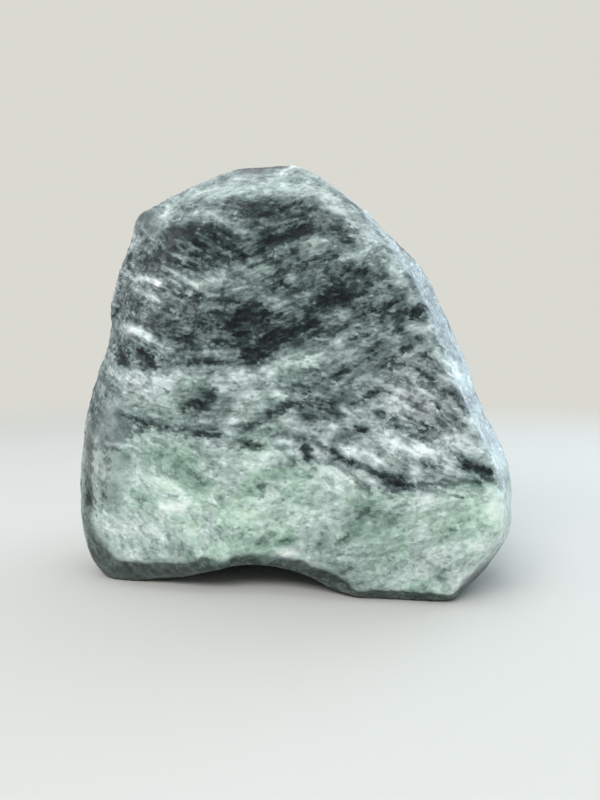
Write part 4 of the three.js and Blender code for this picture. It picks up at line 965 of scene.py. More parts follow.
    ("tone", 0.08, 4.7, [(-69, -6, 173), (-59, -19, 165)]),
    ("purple", 0.50, 6.2, [(-72, -6, 172), (-63, -20, 159)]),
    ("purple", 0.50, 6.1, [(-74, -10, 157), (-66, -23, 146)]),
    ("purple", 0.50, 6.8, [(-71, -23, 133), (-57, -34, 121)]),
    ("purple", 0.40, 5.0, [(-89, -11, 120), (-74, -30, 111)]),
    ("purple", 0.50, 5.0, [(-94, -28, 62), (-89, -36, 50)]),
    ("green", -0.50, 5.0, [(-94, -28, 62), (-89, -36, 50)]),
    ("green", -0.40, 3.8, [(-79, -38, 61), (-73, -40, 58)]),
    ("green", 0.40, 5.5, [(-55, -41, 87), (-49, -43, 79)]),
    ("green", 0.30, 4.4, [(-12, -45, 90), (-8, -46, 84)]),
    ("green", 0.30, 3.5, [(-13, -52, 52), (5, -55, 52)]),
    ("green", 0.30, 3.5, [(26, -65, 22), (38, -65, 23)]),
    ("green", 0.30, 5.4, [(83, -68, 44), (92, -59, 28)]),
    ("tone", 0.18, 1.9, [(74.2, -41.0, 99.8), (77.9, -43.1, 90.1)]),
    ("tone", 0.15, 1.8, [(79.7, -48.5, 81.6), (83.6, -49.3, 72.9)]),
    ("tone", -0.20, 1.4, [(65.8, -42.7, 115.8), (68.6, -43.0, 108.7)]),
    ("tone", 0.12, 2.2, [(83.0, -57.7, 67.1), (88.6, -57.1, 57.5)]),
    ("tone", -0.14, 1.4, [(78.8, -43.1, 88.3), (80.3, -44.7, 83.9)]),
    ("tone", -0.14, 1.4, [(84.8, -48.6, 71.0), (86.1, -50.2, 66.8)]),
    ("tone", -0.26, 3.8, [(70, -41, 108), (77, -32, 105)]),
    ("tone", -0.26, 4.2, [(78, -43, 90), (82, -40, 85)]),
    ("tone", -0.28, 4.8, [(87, -42, 72), (94, -36, 66)]),
    ("tone", 0.16, 3.7, [(74, -41, 100), (78, -41, 93)]),
    ("tone", 0.16, 3.8, [(82, -44, 81), (87, -39, 75)]),
    ("tone", 0.14, 4.2, [(89, -48, 64), (92, -48, 58)]),
    ("tone", -0.22, 2.5, [(89.7, -26.6, 82.4), (91.0, -27.2, 79.1)]),
    ("tone", -0.22, 2.5, [(94.0, -27.1, 75.8), (95.4, -26.0, 72.3)]),
    ("tone", -0.20, 4.3, [(64, -32, 132), (67, -36, 122)]),
    ("tone", 0.08, 3.4, [(48, -28, 153), (55, -29, 146)]),
    ("tone", -0.14, 1.5, [(61.6, -21.4, 146.6), (65.4, -21.7, 139.1)]),
    ("tone", 0.10, 1.5, [(58.9, -20.1, 149.6), (63.2, -23.3, 140.8)]),
    ("tone", -0.14, 1.5, [(39.1, -16.8, 174.5), (45.4, -19.8, 167.3)]),
    ("tone", 0.06, 3.5, [(40, -57, 64), (68, -61, 63)]),
    ("calm", 0.60, 4.2, [(-72, -6, 172), (-64, -16, 162)]),
    ("purple", 0.40, 4.2, [(-72, -6, 172), (-64, -16, 162)]),
    # these two marks take painted shade off the left base
    ("damp_shade", -0.60, 2.0, [(-82.3, -43.5, 3.8), (-77.3, -45.0, 3.5)]),
    ("damp_shade", -0.40, 1.4, [(-63.9, -50.6, 9.3), (-59.2, -51.5, 9.2)]),
    ("purple", 0.50, 2.8, [(70.6, -68.2, 4.7), (83.6, -55.1, 7.4), (92.0, -50.5, 13.9)]),
    ("tone", -0.06, 6.3, [(-12, -40, 116), (9, -44, 110)]),
    ("tone", -0.05, 5.8, [(-53, -27, 158), (-31, -32, 152)]),
    ("tone", 0.05, 5.5, [(88, -66, 43), (95, -52, 23)]),
    ("tone", -0.12, 3.0, [(54.3, -18.8, 153.5), (56.4, -23.5, 149.1)]),
    ("tone", -0.12, 2.8, [(-57.4, -49.3, 38.5), (-50.9, -50.8, 37.1)]),
    ("tone", -0.08, 2.6, [(84.9, -66.7, 46.8), (87.6, -66.6, 40.1)]),
    ("dent", 1.50, 4.5, [(-97, -30, 45), (-95, -34, 39)]),
    ("dent", 0.80, 2.5, [(-81.2, -26.1, 104.1), (-78.4, -29.6, 100.5)]),
    ("dent", 0.80, 2.4, [(-67.4, -35.6, 102.4), (-61.4, -38.3, 98.4)]),
    ("dent", 0.70, 3.2, [(-46, -43, 80), (-35, -44, 83)]),
    ("dent", 0.60, 3.8, [(-10, -34, 156), (5, -33, 158)]),
    ("dent", 0.60, 4.1, [(-20, -38, 123), (-12, -39, 122)]),
    ("dent", 0.70, 3.1, [(-18, -42, 104), (-10, -42, 107)]),
    ("dent", 0.60, 2.6, [(74.7, -63.7, 58.0), (83.5, -65.5, 53.3)]),
    ("dent", -0.50, 3.4, [(-77, -25, 116), (-65, -34, 112)]),
    ("dent", -0.40, 3.0, [(-71.5, -20.4, 138.8), (-62.0, -28.8, 135.6)]),
    ("dent", -0.20, 2.4, [(-57.2, -28.9, 142.8), (-42.7, -33.4, 134.2)]),
    ("dent", 0.50, 4.1, [(-41, -48, 60), (-37, -51, 46)]),
    ("dent", -0.40, 4.6, [(-57, -50, 36), (-46, -51, 38)]),
    ("dent", 0.50, 5.2, [(28, -63, 34), (42, -62, 43)]),
    # the next five marks are painted shade along the base and down the left flank
    ("damp_shade", 0.90, 4.4, [(-92, -38, 9), (-77, -45, 5), (-59, -48, 3), (-37, -57, 11)]),
    ("damp_shade", 0.50, 2.7, [(-36.6, -56.9, 10.8), (-17.0, -57.1, 13.1)]),
    ("damp_shade", 0.60, 4.0, [(5, -59, 10), (22, -63, 4), (39, -64, -0), (59, -67, -0)]),
    ("damp_shade", 0.40, 3.8, [(67, -69, 2), (82, -56, 6), (94, -49, 15)]),
    ("damp_shade", 0.35, 4.1, [(-96, -24, 67), (-97, -30, 44), (-94, -36, 21)]),
]

# thin light streaks and dark lenses with clean edges: half width (mm), path. Most light streaks are veins; the ones
# noted below over the upper left are painted highlights on ledge edges, and two dark lenses noted below are painted
# shade under a ledge
LIGHT_STREAKS = [
    (0.49, [(52.4, -49.3, 108.7), (60.0, -50.5, 105.2)]),
    (0.48, [(48.0, -50.7, 96.6), (58.0, -53.1, 91.6)]),
    (0.53, [(42.0, -51.0, 90.6), (51.2, -52.7, 87.2)]),
    (0.48, [(59.4, -54.9, 84.8), (66.7, -56.9, 82.4)]),
    (0.48, [(50.3, -53.7, 80.4), (60.1, -56.5, 77.3)]),
    (0.49, [(67.3, -53.3, 93.3), (73.7, -52.4, 88.1)]),
    # these ten light streaks over the upper left are painted highlights along the ledge edges
    (0.57, [(-59.9, -29.8, 134.5), (-48.2, -33.3, 130.6)]),
    (0.58, [(-64.9, -28.4, 131.0), (-53.8, -33.2, 126.1)]),
    (0.56, [(-59.5, -32.7, 122.5), (-47.8, -36.6, 117.8)]),
    (0.56, [(-51.5, -36.4, 116.0), (-40.3, -38.7, 113.2)]),
    (0.63, [(-58.7, -27.9, 144.3), (-51.2, -31.1, 139.4)]),
    (0.81, [(-50.3, -31.5, 138.0), (-43.1, -33.3, 134.2)]),
    (0.77, [(-54.4, -28.2, 150.2), (-47.6, -30.2, 147.2), (-41.5, -31.5, 144.3)]),
    (1.28, [(-72.9, -18.6, 139.9), (-66.5, -25.4, 137.8), (-60.9, -29.2, 135.5)]),
    (0.88, [(-73.5, -20.5, 134.1), (-63.8, -29.3, 129.6), (-59.7, -31.4, 127.6)]),
    (1.55, [(-78.8, -23.5, 116.9), (-71.2, -30.6, 114.3), (-64.3, -34.6, 111.1)]),
    (0.62, [(-84.2, -35.4, 61.8), (-76.8, -38.2, 62.2), (-70.8, -40.5, 61.2)]),
    (0.86, [(-37.7, -27.3, 168.5), (-29.0, -31.0, 162.3), (-22.0, -32.7, 158.4)]),
    (1.18, [(-48.9, -21.6, 168.8), (-38.5, -28.1, 166.0)]),
    (1.29, [(-63.8, -12.0, 169.4), (-56.4, -14.5, 171.2)]),
    (1.12, [(-52.7, -11.1, 177.2), (-42.0, -22.8, 172.2)]),
    (0.70, [(-63.7, -35.2, 109.7), (-52.9, -39.1, 104.3)]),
    (0.77, [(-43.7, -40.4, 104.3), (-37.3, -41.0, 103.4)]),
    (0.63, [(-30.1, -41.3, 103.8), (-22.0, -41.8, 104.3)]),
    (0.96, [(-83.2, -26.4, 97.6), (-73.5, -34.0, 96.0), (-64.2, -38.3, 93.9)]),
    (1.00, [(-50.9, -40.9, 96.2), (-41.8, -42.4, 91.4)]),
    (0.76, [(-27.4, -42.7, 94.5), (-20.1, -44.4, 88.8)]),
    (1.19, [(-59.5, -46.8, 48.3), (-50.1, -49.6, 44.4), (-42.8, -51.5, 38.6)]),
    (1.56, [(-56.9, -49.8, 35.9), (-45.4, -51.6, 36.9)]),
    (0.86, [(23.6, -56.2, 62.6), (31.2, -57.8, 59.4)]),
    (1.30, [(47.4, -57.2, 64.5), (61.3, -60.1, 62.4)]),
    (1.04, [(41.6, -55.9, 67.3), (49.1, -57.2, 65.3)]),
    (0.63, [(12.7, -42.8, 120.2), (24.6, -42.9, 125.4)]),
    (0.62, [(17.9, -44.2, 114.0), (36.2, -46.0, 117.8)]),
    (0.89, [(49.0, -48.4, 113.4), (61.3, -47.6, 115.6)]),
    (0.53, [(60.5, -53.3, 92.4), (66.9, -55.5, 87.4)]),
    (0.53, [(52.6, -51.8, 93.6), (57.9, -53.5, 89.9)]),
    (0.52, [(47.0, -52.3, 85.5), (52.8, -53.9, 82.1)]),
    (0.61, [(72.7, -66.3, 42.9), (83.1, -67.1, 46.9)]),
    (0.61, [(63.1, -65.7, 36.0), (79.1, -67.3, 43.2)]),
    (1.15, [(-5.6, -58.7, 18.1), (6.4, -60.9, 18.9)]),
    (0.76, [(-78.7, -32.8, 88.0), (-65.0, -39.3, 85.3)]),
    (0.60, [(-60.2, -41.0, 81.8), (-53.6, -42.6, 79.7)]),
    (0.73, [(-12.3, -38.5, 129.3), (-4.2, -39.7, 127.4)]),
    (0.65, [(6.5, -34.8, 153.2), (14.6, -34.8, 156.3)]),
    (0.59, [(27.7, -42.5, 128.9), (41.5, -43.8, 134.5)]),
    (0.60, [(-34.2, -35.6, 131.3), (-18.6, -37.3, 133.4)]),
    (0.80, [(-29.7, -23.7, 176.5), (-19.8, -19.4, 183.1)]),
    (0.75, [(-13.2, -19.3, 184.5), (0.1, -22.9, 182.1)]),
    (0.67, [(-43.0, -29.0, 159.1), (-35.4, -31.3, 154.2)]),
    (0.64, [(-66.2, -22.1, 146.5), (-58.2, -28.6, 142.9)]),
    (0.62, [(-33.2, -49.2, 57.8), (-22.5, -50.8, 52.8)]),
    (0.70, [(-14.5, -51.4, 52.9), (-4.0, -51.7, 58.3)]),
    (0.67, [(-76.6, -45.1, 28.7), (-67.6, -49.1, 20.7)]),
    (0.67, [(-23.2, -54.7, 30.6), (-9.2, -55.1, 36.9)]),
    (0.56, [(17.5, -60.5, 38.4), (24.2, -60.6, 43.6)]),
    (0.61, [(48.3, -64.3, 32.6), (56.6, -64.6, 36.9)]),
    (0.67, [(81.3, -68.4, 38.9), (90.7, -62.5, 40.7)]),
    (0.60, [(-63.0, -41.8, 67.4), (-53.3, -45.0, 65.1)]),
    (0.53, [(58.9, -67.2, 18.1), (67.0, -67.9, 23.5)]),
    (0.57, [(26.6, -65.8, 11.5), (36.6, -66.0, 17.7)]),
    (0.71, [(7.4, -44.9, 100.8), (17.9, -45.6, 105.2)]),
    (0.62, [(-2.4, -44.2, 98.1), (4.7, -44.7, 99.9)]),
    (0.57, [(32.5, -50.1, 92.3), (41.1, -50.1, 96.6)]),
    (0.52, [(64.3, -56.4, 82.4), (70.6, -58.7, 77.5)]),
    (0.52, [(49.4, -54.4, 76.2), (55.9, -56.4, 73.0)]),
    (0.57, [(68.6, -61.2, 64.3), (75.6, -63.3, 60.4)]),
]
LENSES = [
    (0.62, [(50.6, -49.4, 107.0), (58.2, -50.7, 103.5), (65.0, -51.9, 98.4)]),
    (0.53, [(46.3, -49.9, 100.9), (54.8, -51.3, 97.5), (62.2, -53.4, 93.3)]),
    (0.58, [(58.2, -50.6, 104.4), (67.5, -52.2, 95.8)]),
    (0.57, [(44.6, -50.7, 94.0), (53.0, -52.4, 90.7), (60.3, -54.5, 87.4)]),
    (0.61, [(42.8, -51.5, 87.1), (52.8, -53.7, 83.0), (64.2, -56.8, 80.7)]),
    (0.57, [(64.5, -54.8, 89.1), (72.8, -56.2, 83.2)]),
    (0.57, [(47.7, -53.8, 77.8), (57.6, -56.6, 73.8), (65.5, -59.2, 70.8)]),
    (0.62, [(-67.6, -24.8, 136.9), (-55.8, -31.7, 131.6), (-45.3, -34.3, 128.7)]),
    (0.62, [(-70.4, -25.6, 128.5), (-59.5, -32.2, 124.3), (-46.9, -36.3, 119.6)]),
    (0.67, [(-56.3, -28.1, 147.5), (-42.8, -31.9, 140.7)]),
    (0.57, [(-45.8, -30.0, 149.9), (-38.2, -31.8, 145.2)]),
    # the next two dark lenses are painted shade in the dents under the ledge on the left
    (1.77, [(-81.3, -25.7, 105.1), (-77.1, -30.8, 100.0)]),
    (1.98, [(-68.0, -35.1, 103.8), (-60.9, -38.6, 97.9)]),
    (3.41, [(-20.9, -38.4, 122.2), (-12.3, -39.1, 123.5)]),
    (2.05, [(-32.1, -39.2, 115.0), (-21.3, -39.0, 117.7)]),
    (2.69, [(-9.5, -41.6, 110.5), (0.3, -42.3, 112.7)]),
    (3.81, [(-20.2, -42.1, 103.4), (-13.9, -42.9, 102.1)]),
    (1.79, [(-14.9, -41.8, 107.4), (-7.7, -42.0, 109.2)]),
    (2.26, [(12.7, -41.6, 126.4), (26.9, -41.0, 136.5)]),
    (1.67, [(-16.7, -30.9, 166.8), (-9.8, -30.7, 167.3)]),
    (2.34, [(-9.7, -34.4, 153.7), (3.4, -33.6, 157.8)]),
    (2.58, [(-0.7, -33.7, 156.9), (6.1, -33.3, 159.2)]),
    (1.92, [(2.0, -29.2, 170.3), (11.1, -30.2, 168.3)]),
    (1.65, [(20.1, -33.0, 163.3), (28.1, -34.7, 158.5)]),
    (2.00, [(-69.4, -18.6, 147.5), (-61.7, -25.0, 148.9)]),
    (1.18, [(-3.8, -38.1, 135.5), (-0.2, -39.1, 132.3)]),
    (1.16, [(36.2, -45.4, 121.3), (49.1, -46.3, 126.9)]),
    (2.24, [(52.0, -47.7, 121.2), (59.5, -45.0, 124.0)]),
    (1.32, [(49.4, -49.5, 105.2), (53.6, -49.7, 106.5)]),
    (1.75, [(4.7, -48.3, 82.5), (19.5, -50.2, 81.8)]),
    (1.91, [(-46.2, -43.4, 80.2), (-40.3, -43.8, 81.6)]),
    (1.33, [(-20.0, -47.1, 69.9), (-13.8, -47.1, 72.6)]),
    (1.98, [(-8.1, -47.3, 77.5), (0.3, -47.9, 81.6)]),
    (2.17, [(6.5, -52.2, 65.8), (8.6, -54.2, 59.6)]),
    (1.82, [(29.7, -54.0, 71.8), (32.3, -54.4, 71.0)]),
    (1.51, [(18.5, -55.3, 62.9), (25.2, -57.7, 58.1)]),
    (1.55, [(26.9, -58.1, 57.3), (36.1, -59.7, 53.7)]),
    (2.80, [(39.4, -60.2, 52.6), (46.1, -61.0, 50.6)]),
    (1.13, [(47.7, -61.6, 48.6), (67.3, -64.1, 49.2)]),
    (2.18, [(72.4, -63.1, 58.7), (78.6, -64.8, 56.5)]),
    (2.41, [(77.4, -64.7, 55.7), (85.3, -65.1, 51.9)]),
    (1.37, [(-58.2, -42.8, 69.8), (-47.8, -45.4, 69.3)]),
    (1.44, [(-41.4, -46.4, 68.9), (-29.8, -47.6, 67.3)]),
    (1.33, [(-22.6, -48.1, 65.2), (-12.9, -48.8, 64.0)]),
    (1.04, [(-76.6, -36.3, 75.4), (-65.0, -40.7, 71.8)]),
    (1.24, [(-88.0, -11.9, 121.2), (-83.0, -15.1, 125.4)]),
    (1.06, [(-81.3, -7.0, 148.1), (-79.2, -7.2, 152.0)]),
    (1.50, [(-26.6, -32.7, 155.3), (-21.5, -34.6, 147.9)]),
    (1.52, [(-41.5, -30.4, 152.6), (-34.0, -32.0, 150.5)]),
    (1.47, [(-52.8, -26.2, 159.6), (-45.9, -28.0, 160.7)]),
    (1.27, [(-29.3, -27.5, 171.6), (-27.3, -24.9, 175.8)]),
    (1.16, [(-55.5, -27.2, 152.6), (-49.5, -29.5, 149.6)]),
    (1.01, [(-38.6, -37.1, 121.8), (-30.3, -38.1, 122.2)]),
    (0.92, [(-58.5, -38.7, 100.2), (-47.3, -40.9, 99.4)]),
    (0.81, [(-40.0, -41.5, 98.9), (-23.8, -42.3, 99.9)]),
    (1.06, [(14.4, -46.8, 95.6), (5.6, -45.3, 96.8)]),
    (0.88, [(25.8, -46.0, 109.6), (36.1, -47.0, 112.2)]),
    (0.97, [(43.0, -48.0, 111.3), (49.8, -48.4, 113.9)]),
    (1.13, [(27.3, -51.4, 81.9), (38.5, -51.3, 87.1)]),
    (0.87, [(37.5, -52.9, 78.1), (45.2, -54.1, 75.3)]),
    (0.96, [(43.4, -54.5, 73.1), (55.9, -56.8, 71.3)]),
    (1.05, [(68.6, -55.7, 86.6), (74.4, -56.8, 80.7)]),
    (0.79, [(58.0, -52.4, 94.5), (64.5, -54.7, 89.5)]),
    (0.79, [(47.9, -52.5, 84.6), (55.3, -54.7, 80.5)]),
    (0.78, [(62.6, -56.6, 79.8), (68.8, -59.2, 74.2)]),
    (0.87, [(55.4, -60.1, 58.1), (65.9, -62.7, 55.2)]),
    (0.54, [(-43.9, -48.8, 53.2), (-40.2, -49.9, 49.0)]),
    (0.94, [(-68.0, -45.9, 39.9), (-62.1, -48.2, 36.8)]),
    (1.06, [(-14.5, -52.9, 45.2), (-9.2, -53.2, 47.5)]),
    (0.78, [(28.3, -62.8, 33.9), (35.1, -62.3, 39.7)]),
    (0.52, [(20.8, -63.7, 24.2), (25.8, -63.6, 28.5)]),
    (0.87, [(64.6, -67.0, 27.4), (73.4, -67.7, 35.3)]),
    (0.79, [(10.0, -47.9, 86.9), (5.6, -47.6, 86.0)]),
    (0.98, [(-66.8, -29.0, 125.5), (-74.2, -22.0, 128.8)]),
    (1.02, [(-11.5, -35.9, 144.6), (-19.6, -35.8, 142.0)]),
    (0.92, [(14.6, -37.6, 144.4), (23.4, -38.3, 147.8)]),
    (0.90, [(45.0, -44.6, 133.1), (36.3, -43.9, 129.7)]),
    (0.81, [(-6.0, -40.5, 119.4), (-1.5, -40.8, 122.0)]),
    (0.80, [(10.0, -43.1, 115.8), (21.5, -43.7, 120.1)]),
    (0.81, [(-25.7, -40.1, 111.4), (-16.8, -40.2, 113.2)]),
    (0.92, [(-59.3, -40.3, 89.0), (-54.5, -41.7, 86.4)]),
    (0.90, [(-37.2, -42.8, 90.1), (-31.8, -43.5, 87.4)]),
    (0.73, [(-53.5, -43.2, 74.8), (-46.1, -44.7, 73.7)]),
]


def seg_distance(p, a, b, depth=0.45):
    s = np.array([1.0, depth, 1.0])
    pa, ba = (p - a) * s, (b - a) * s
    t = np.clip((pa @ ba) / max(ba @ ba, 1e-9), 0, 1)
    return np.linalg.norm(pa - t[:, None] * ba, axis=1)


def lay(p, field, kind, strength, half, path):
    path = [np.array(q, float) for q in path]
    lo = np.min(path, 0) - np.array([1.9, 3.2, 1.9]) * half - np.array([0, 16, 0])
    hi = np.max(path, 0) + np.array([1.9, 3.2, 1.9]) * half + np.array([0, 16, 0])
    near = np.where(np.all((p > lo) & (p < hi), axis=1))[0]
    if not len(near):
        return
    q = p[near]
    d = np.min([seg_distance(q, a, b) for a, b in zip(path[:-1], path[1:])], axis=0)
    g = np.exp(-0.75 * (d / half) ** 2.6)
    y0, y1 = min(a[1] for a in path), max(a[1] for a in path)
    g = g * np.exp(-(np.maximum(0, np.maximum(y0 - q[:, 1], q[:, 1] - y1) - 9.0) / 14.0) ** 2)
    field[kind][near] += strength * g


def trace(p, field, half, path):
    """Keep the smallest distance to any path, counted in its own half widths."""
    path = [np.array(q, float) for q in path]
    far = 3.5 * half + 2.0
    lo, hi = np.min(path, 0) - far - np.array([0, far, 0]), np.max(path, 0) + far + np.array([0, far, 0])
    near = np.where(np.all((p > lo) & (p < hi), axis=1))[0]
    if not len(near):
        return
    q = p[near]
    d = np.min([seg_distance(q, a, b) for a, b in zip(path[:-1], path[1:])], axis=0) / half
    # a lens thins towards its ends
    a, b = path[0], path[-1]
    ab = b - a
    s = np.clip(((q - a) @ ab) / max(ab @ ab, 1e-9), 0, 1)
    d = d * (1 + 0.55 * (2 * s - 1) ** 2)
    field[near] = np.minimum(field[near], d)


def height_of(line, x):
    xs, zs = np.array(line, float).T
    return np.interp(x, xs, zs)


F = {k: np.zeros(NV) for k in ("tone", "talc", "green", "purple", "calm", "dent", "damp_shade")}
front = ramp(-V0[:, 1], -12.0, 14.0)           # 1 on the front, 0 behind
drop = DIP * (V0[:, 1] + 50.0)
wob = 5.0 * fbm(V0 / 30.0, 51, 3) + 2.0 * fbm(V0 / 9.0, 52, 2)
wob_b = 13.0 * fbm(V0 / 55.0, 53, 3) * (1 - front)
xw = V0[:, 0] + 4.0 * fbm(V0 / 20.0, 54, 2)
zq = V0[:, 2] - drop + wob * (0.45 + 0.55 * (1 - front)) + wob_b
talc_gap = zq - height_of(TALC_EDGE, xw)        # >0 above the talc
dark_gap = zq - height_of(DARK_EDGE, xw)
top_gap = zq - height_of(TOP_EDGE, xw)
F["talc"] += np.clip(-talc_gap / 4.0, -1.6, 1.6)
DARK_TONE, MID_TONE, TALC_TONE = 0.385, 0.587, 0.585
F["tone"] += MID_TONE + (DARK_TONE - MID_TONE) * ramp(dark_gap, -3.0, 4.0)
F["tone"] += (TALC_TONE - MID_TONE) * ramp(-talc_gap, -3.0, 3.0)

for kind, strength, half, path in MARKS:
    if kind == "tone":
        strength *= 0.66 if strength < 0 else 0.80
    lay(V0, F, kind, strength, half, path)

F["vein"] = np.full(NV, 4.0)
F["lens"] = np.full(NV, 4.0)
for half, path in LIGHT_STREAKS:
    trace(V0, F["vein"], half, path)
for half, path in LENSES:
    trace(V0, F["lens"], half, path)

# lenses of the same habit over the sides, back and underside
rng = np.random.RandomState(SEED)
cand = np.where((V0[:, 1] > -22) | (np.abs(N0[:, 0]) > 0.72))[0]
n_lens = 230
seeds = rng.choice(cand, n_lens, replace=False)
dirs = [np.array([math.cos(math.radians(-31)), 0, math.sin(math.radians(-31))]),
        np.array([math.cos(math.radians(27)), 0, math.sin(math.radians(27))]),
        np.array([math.cos(math.radians(-5)), 0, math.sin(math.radians(-5))])]
for i in seeds:
    c, n, w3 = V0[i], N0[i], W[i]
    d = dirs[int(np.argmax(w3 + rng.uniform(0, 0.35, 3)))]
    # the trace of the band on this face: in the band plane and in the surface
    cross = np.cross(np.cross(d, np.array([0, 1.0, DIP])), n)
    cross = cross / max(np.linalg.norm(cross), 1e-6)
    length = rng.uniform(5, 26)
    half = rng.uniform(1.2, 4.6) * (0.7 + length / 40)
    a, b = c - cross * length / 2, c + cross * length / 2
    gap_t, gap_d = talc_gap[i], dark_gap[i]
    if gap_t < 0:
        s = rng.choice([-0.15, -0.10, 0.16, 0.12])
        if s < 0 and rng.uniform() < 0.6:
            lay(V0, F, "green", 0.8, half * 1.3, [a, c, b])
    elif gap_d > 0:
        s = rng.choice([-0.26, -0.22, -0.16, 0.20, 0.26, 0.12])
    else:
        s = rng.choice([-0.30, -0.24, -0.18, 0.20, 0.14])
    lay(V0, F, "tone", s * 0.8, half, [a, c, b])
    if s < -0.13 and rng.uniform() < 0.75:
        trace(V0, F["lens"], half * rng.uniform(0.45, 0.8), [a, c, b])
    if s > 0.13 and rng.uniform() < 0.75:
        trace(V0, F["vein"], rng.uniform(0.55, 1.3), [a, c, b])
    if rng.uniform() < 0.2:
        lay(V0, F, "purple", 0.6, half * 2.2, [a, c, b])
    if rng.uniform() < 0.25:
        lay(V0, F, "dent", rng.uniform(0.3, 0.9), half * 1.1, [a, c, b])
behind = 1 - front
F["tone"] += behind * (0.10 * fbm(V0 / 26.0, 61, 3) + 0.06 * fbm(V0 / 11.0, 62, 2))
F["green"] += 0.9 * np.clip(fbm(V0 / 24.0, 63, 3), 0, 1) * (0.3 + 0.7 * behind)
F["purple"] += 0.8 * np.clip(fbm(V0 / 28.0, 64, 3) - 0.05, 0, 1) * (0.3 + 0.7 * behind) * ramp(talc_gap, -2, 6)
# faces turned to the sides are pulled towards a flat grey, darker low on the left, with less mint talc on the left and
# more purple: painted shade and light of the flanks, set by which way each face turns
flank_shading = ramp(np.abs(N0[:, 0]), 0.52, 0.74) * (1 - ramp(np.abs(N0[:, 1]), 0.80, 0.95))
left = V0[:, 0] < 0
flank_shading_tone = np.where(left, 0.38 + 0.20 * ramp(V0[:, 2], 70, 110), 0.52)
F["tone"] += 0.55 * flank_shading * (flank_shading_tone - F["tone"])
F["talc"] -= 1.3 * flank_shading * left
F["purple"] += 0.35 * flank_shading
# below the crease of the rim, in the arch and on low faces turned down the colour is darkened and made glossier:
# painted shade of the underside
face_d = rock(V0, True)
under = ramp(-face_d, 0.15, 2.6) * ramp(-V0[:, 2], -60, -45) * (0.55 + 0.45 * ramp(np.abs(V0[:, 0] + 8.0), 8, 40))
under *= ramp(-V0[:, 0], -66.0, -52.0)
F["damp_shade"] += under + 0.5 * ramp(-V0[:, 2], -22.0, -6.0) * ramp(-N0[:, 2], 0.10, 0.40)


# ------------------------------------------------------------------ broken relief
def cells(q, seed, quad=0.75, tilt=0.5, lift=0.5):
    """Lower envelope of tilted shallow bowls: flakes that meet along sharp little ridges."""
    f = np.floor(q).astype(np.int64)
    best = np.full(len(q), 9.0)
    for dx in (-1, 0, 1):
        for dy in (-1, 0, 1):
            for dz in (-1, 0, 1):
                i, j, k = f[:, 0] + dx, f[:, 1] + dy, f[:, 2] + dz
                c = np.stack([i + 0.5 + 0.42 * lattice(i, j, k, seed), j + 0.5 + 0.42 * lattice(i, j, k, seed + 1),
                              k + 0.5 + 0.42 * lattice(i, j, k, seed + 2)], 1)
                t = np.stack([lattice(i, j, k, seed + 3), lattice(i, j, k, seed + 4), lattice(i, j, k, seed + 5)], 1)
                d = q - c
                v = lift * (0.5 + 0.5 * lattice(i, j, k, seed + 6)) + tilt * (t * d).sum(1) + quad * (d * d).sum(1)
                best = np.minimum(best, v)
    return best


def steps(t):
    """Rises slowly with height and falls off sharply: the tread and riser of a ledge."""
    f = t - np.floor(t)
    return np.where(f < 0.80, f / 0.80, 1 - ramp(f, 0.80, 1.0)) - 0.5


calm = np.clip(F["calm"], 0, 1)
CALM = np.clip(F["calm"], -0.6, 1)
in_talc = ramp(-talc_gap, -2.0, 4.0)
rough = (1 - 0.85 * calm) * (1 - 0.35 * in_talc)
ledge = 0
for k, (per, seed) in enumerate(((5.6, 71), (6.6, 72), (6.2, 73))):
    t = FR[k][:, 1] / per + 0.55 * fbm(V0 / 24.0, seed, 2)
    t2 = FR[k][:, 1] / (per * 0.43) + 0.5 * fbm(V0 / 12.0, seed + 4, 2)
    short = ramp(fbm(FR[k] / np.array([15.0, 5.5, 15.0]), seed + 8, 2), -0.18, 0.30)
    much = (1.0, 0.42, 0.42)[k]
    ledge = ledge + W[:, k] * much * short * (steps(t) + 0.38 * steps(t2))
patchy = 0.30 + 0.70 * ramp(fbm(V0 / 27.0, 81, 2), -0.25, 0.30)
left_top = np.exp(-(((V0[:, 0] + 62) / 30.0) ** 2 + ((V0[:, 2] - 128) / 34.0) ** 2)) * front
flanks = ramp(np.abs(N0[:, 0]), 0.55, 0.8)
ledge_h = (0.55 + 0.45 * left_top + 0.45 * flanks) * patchy * rough * (1 - 0.4 * in_talc)
qa = FR[2] / np.array([15.0, 8.0, 15.0])
qb = FR[1] / np.array([7.5, 4.2, 7.5])
qc = FR[0] / np.array([3.9, 2.3, 3.9])
flakes = 1.55 * (cells(qa, 91) - 0.33) + 0.75 * (cells(qb, 101) - 0.33) * (0.5 + 0.5 * patchy) + 0.34 * (cells(qc, 111) - 0.33)
micro = 0.16 * fbm(V0 / 2.4, 121, 2)
relief = ledge * ledge_h * 1.05 + (flakes * 0.62 + micro) * rough - F["dent"]
relief = relief - 0.25 * smooth(relief, 60)
foot = ramp(V0[:, 2], 0.15, 2.6)
relief = relief * foot
V = V0 + N0 * relief[:, None]
V[:, 2] = np.where(V0[:, 2] < 0.05, 0.0, np.maximum(V[:, 2], 0.0))

# proud places are painted lighter and sunk places darker, and crests lighter still: painted highlight on the ridges and
# painted shade in the hollows
broad = smooth(relief, 14)
proud = np.clip((relief - broad) / 0.30, -1, 1)
cup = np.stack([smooth(V0[:, k], 8) for k in range(3)], 1)
crest = np.clip((((V0 - cup) * N0).sum(1)) / 0.35, -1, 1)
F["tone"] += 0.085 * proud + 0.07 * np.clip(smooth(crest, 4), 0, 1) * ramp(V0[:, 2], 4, 16)

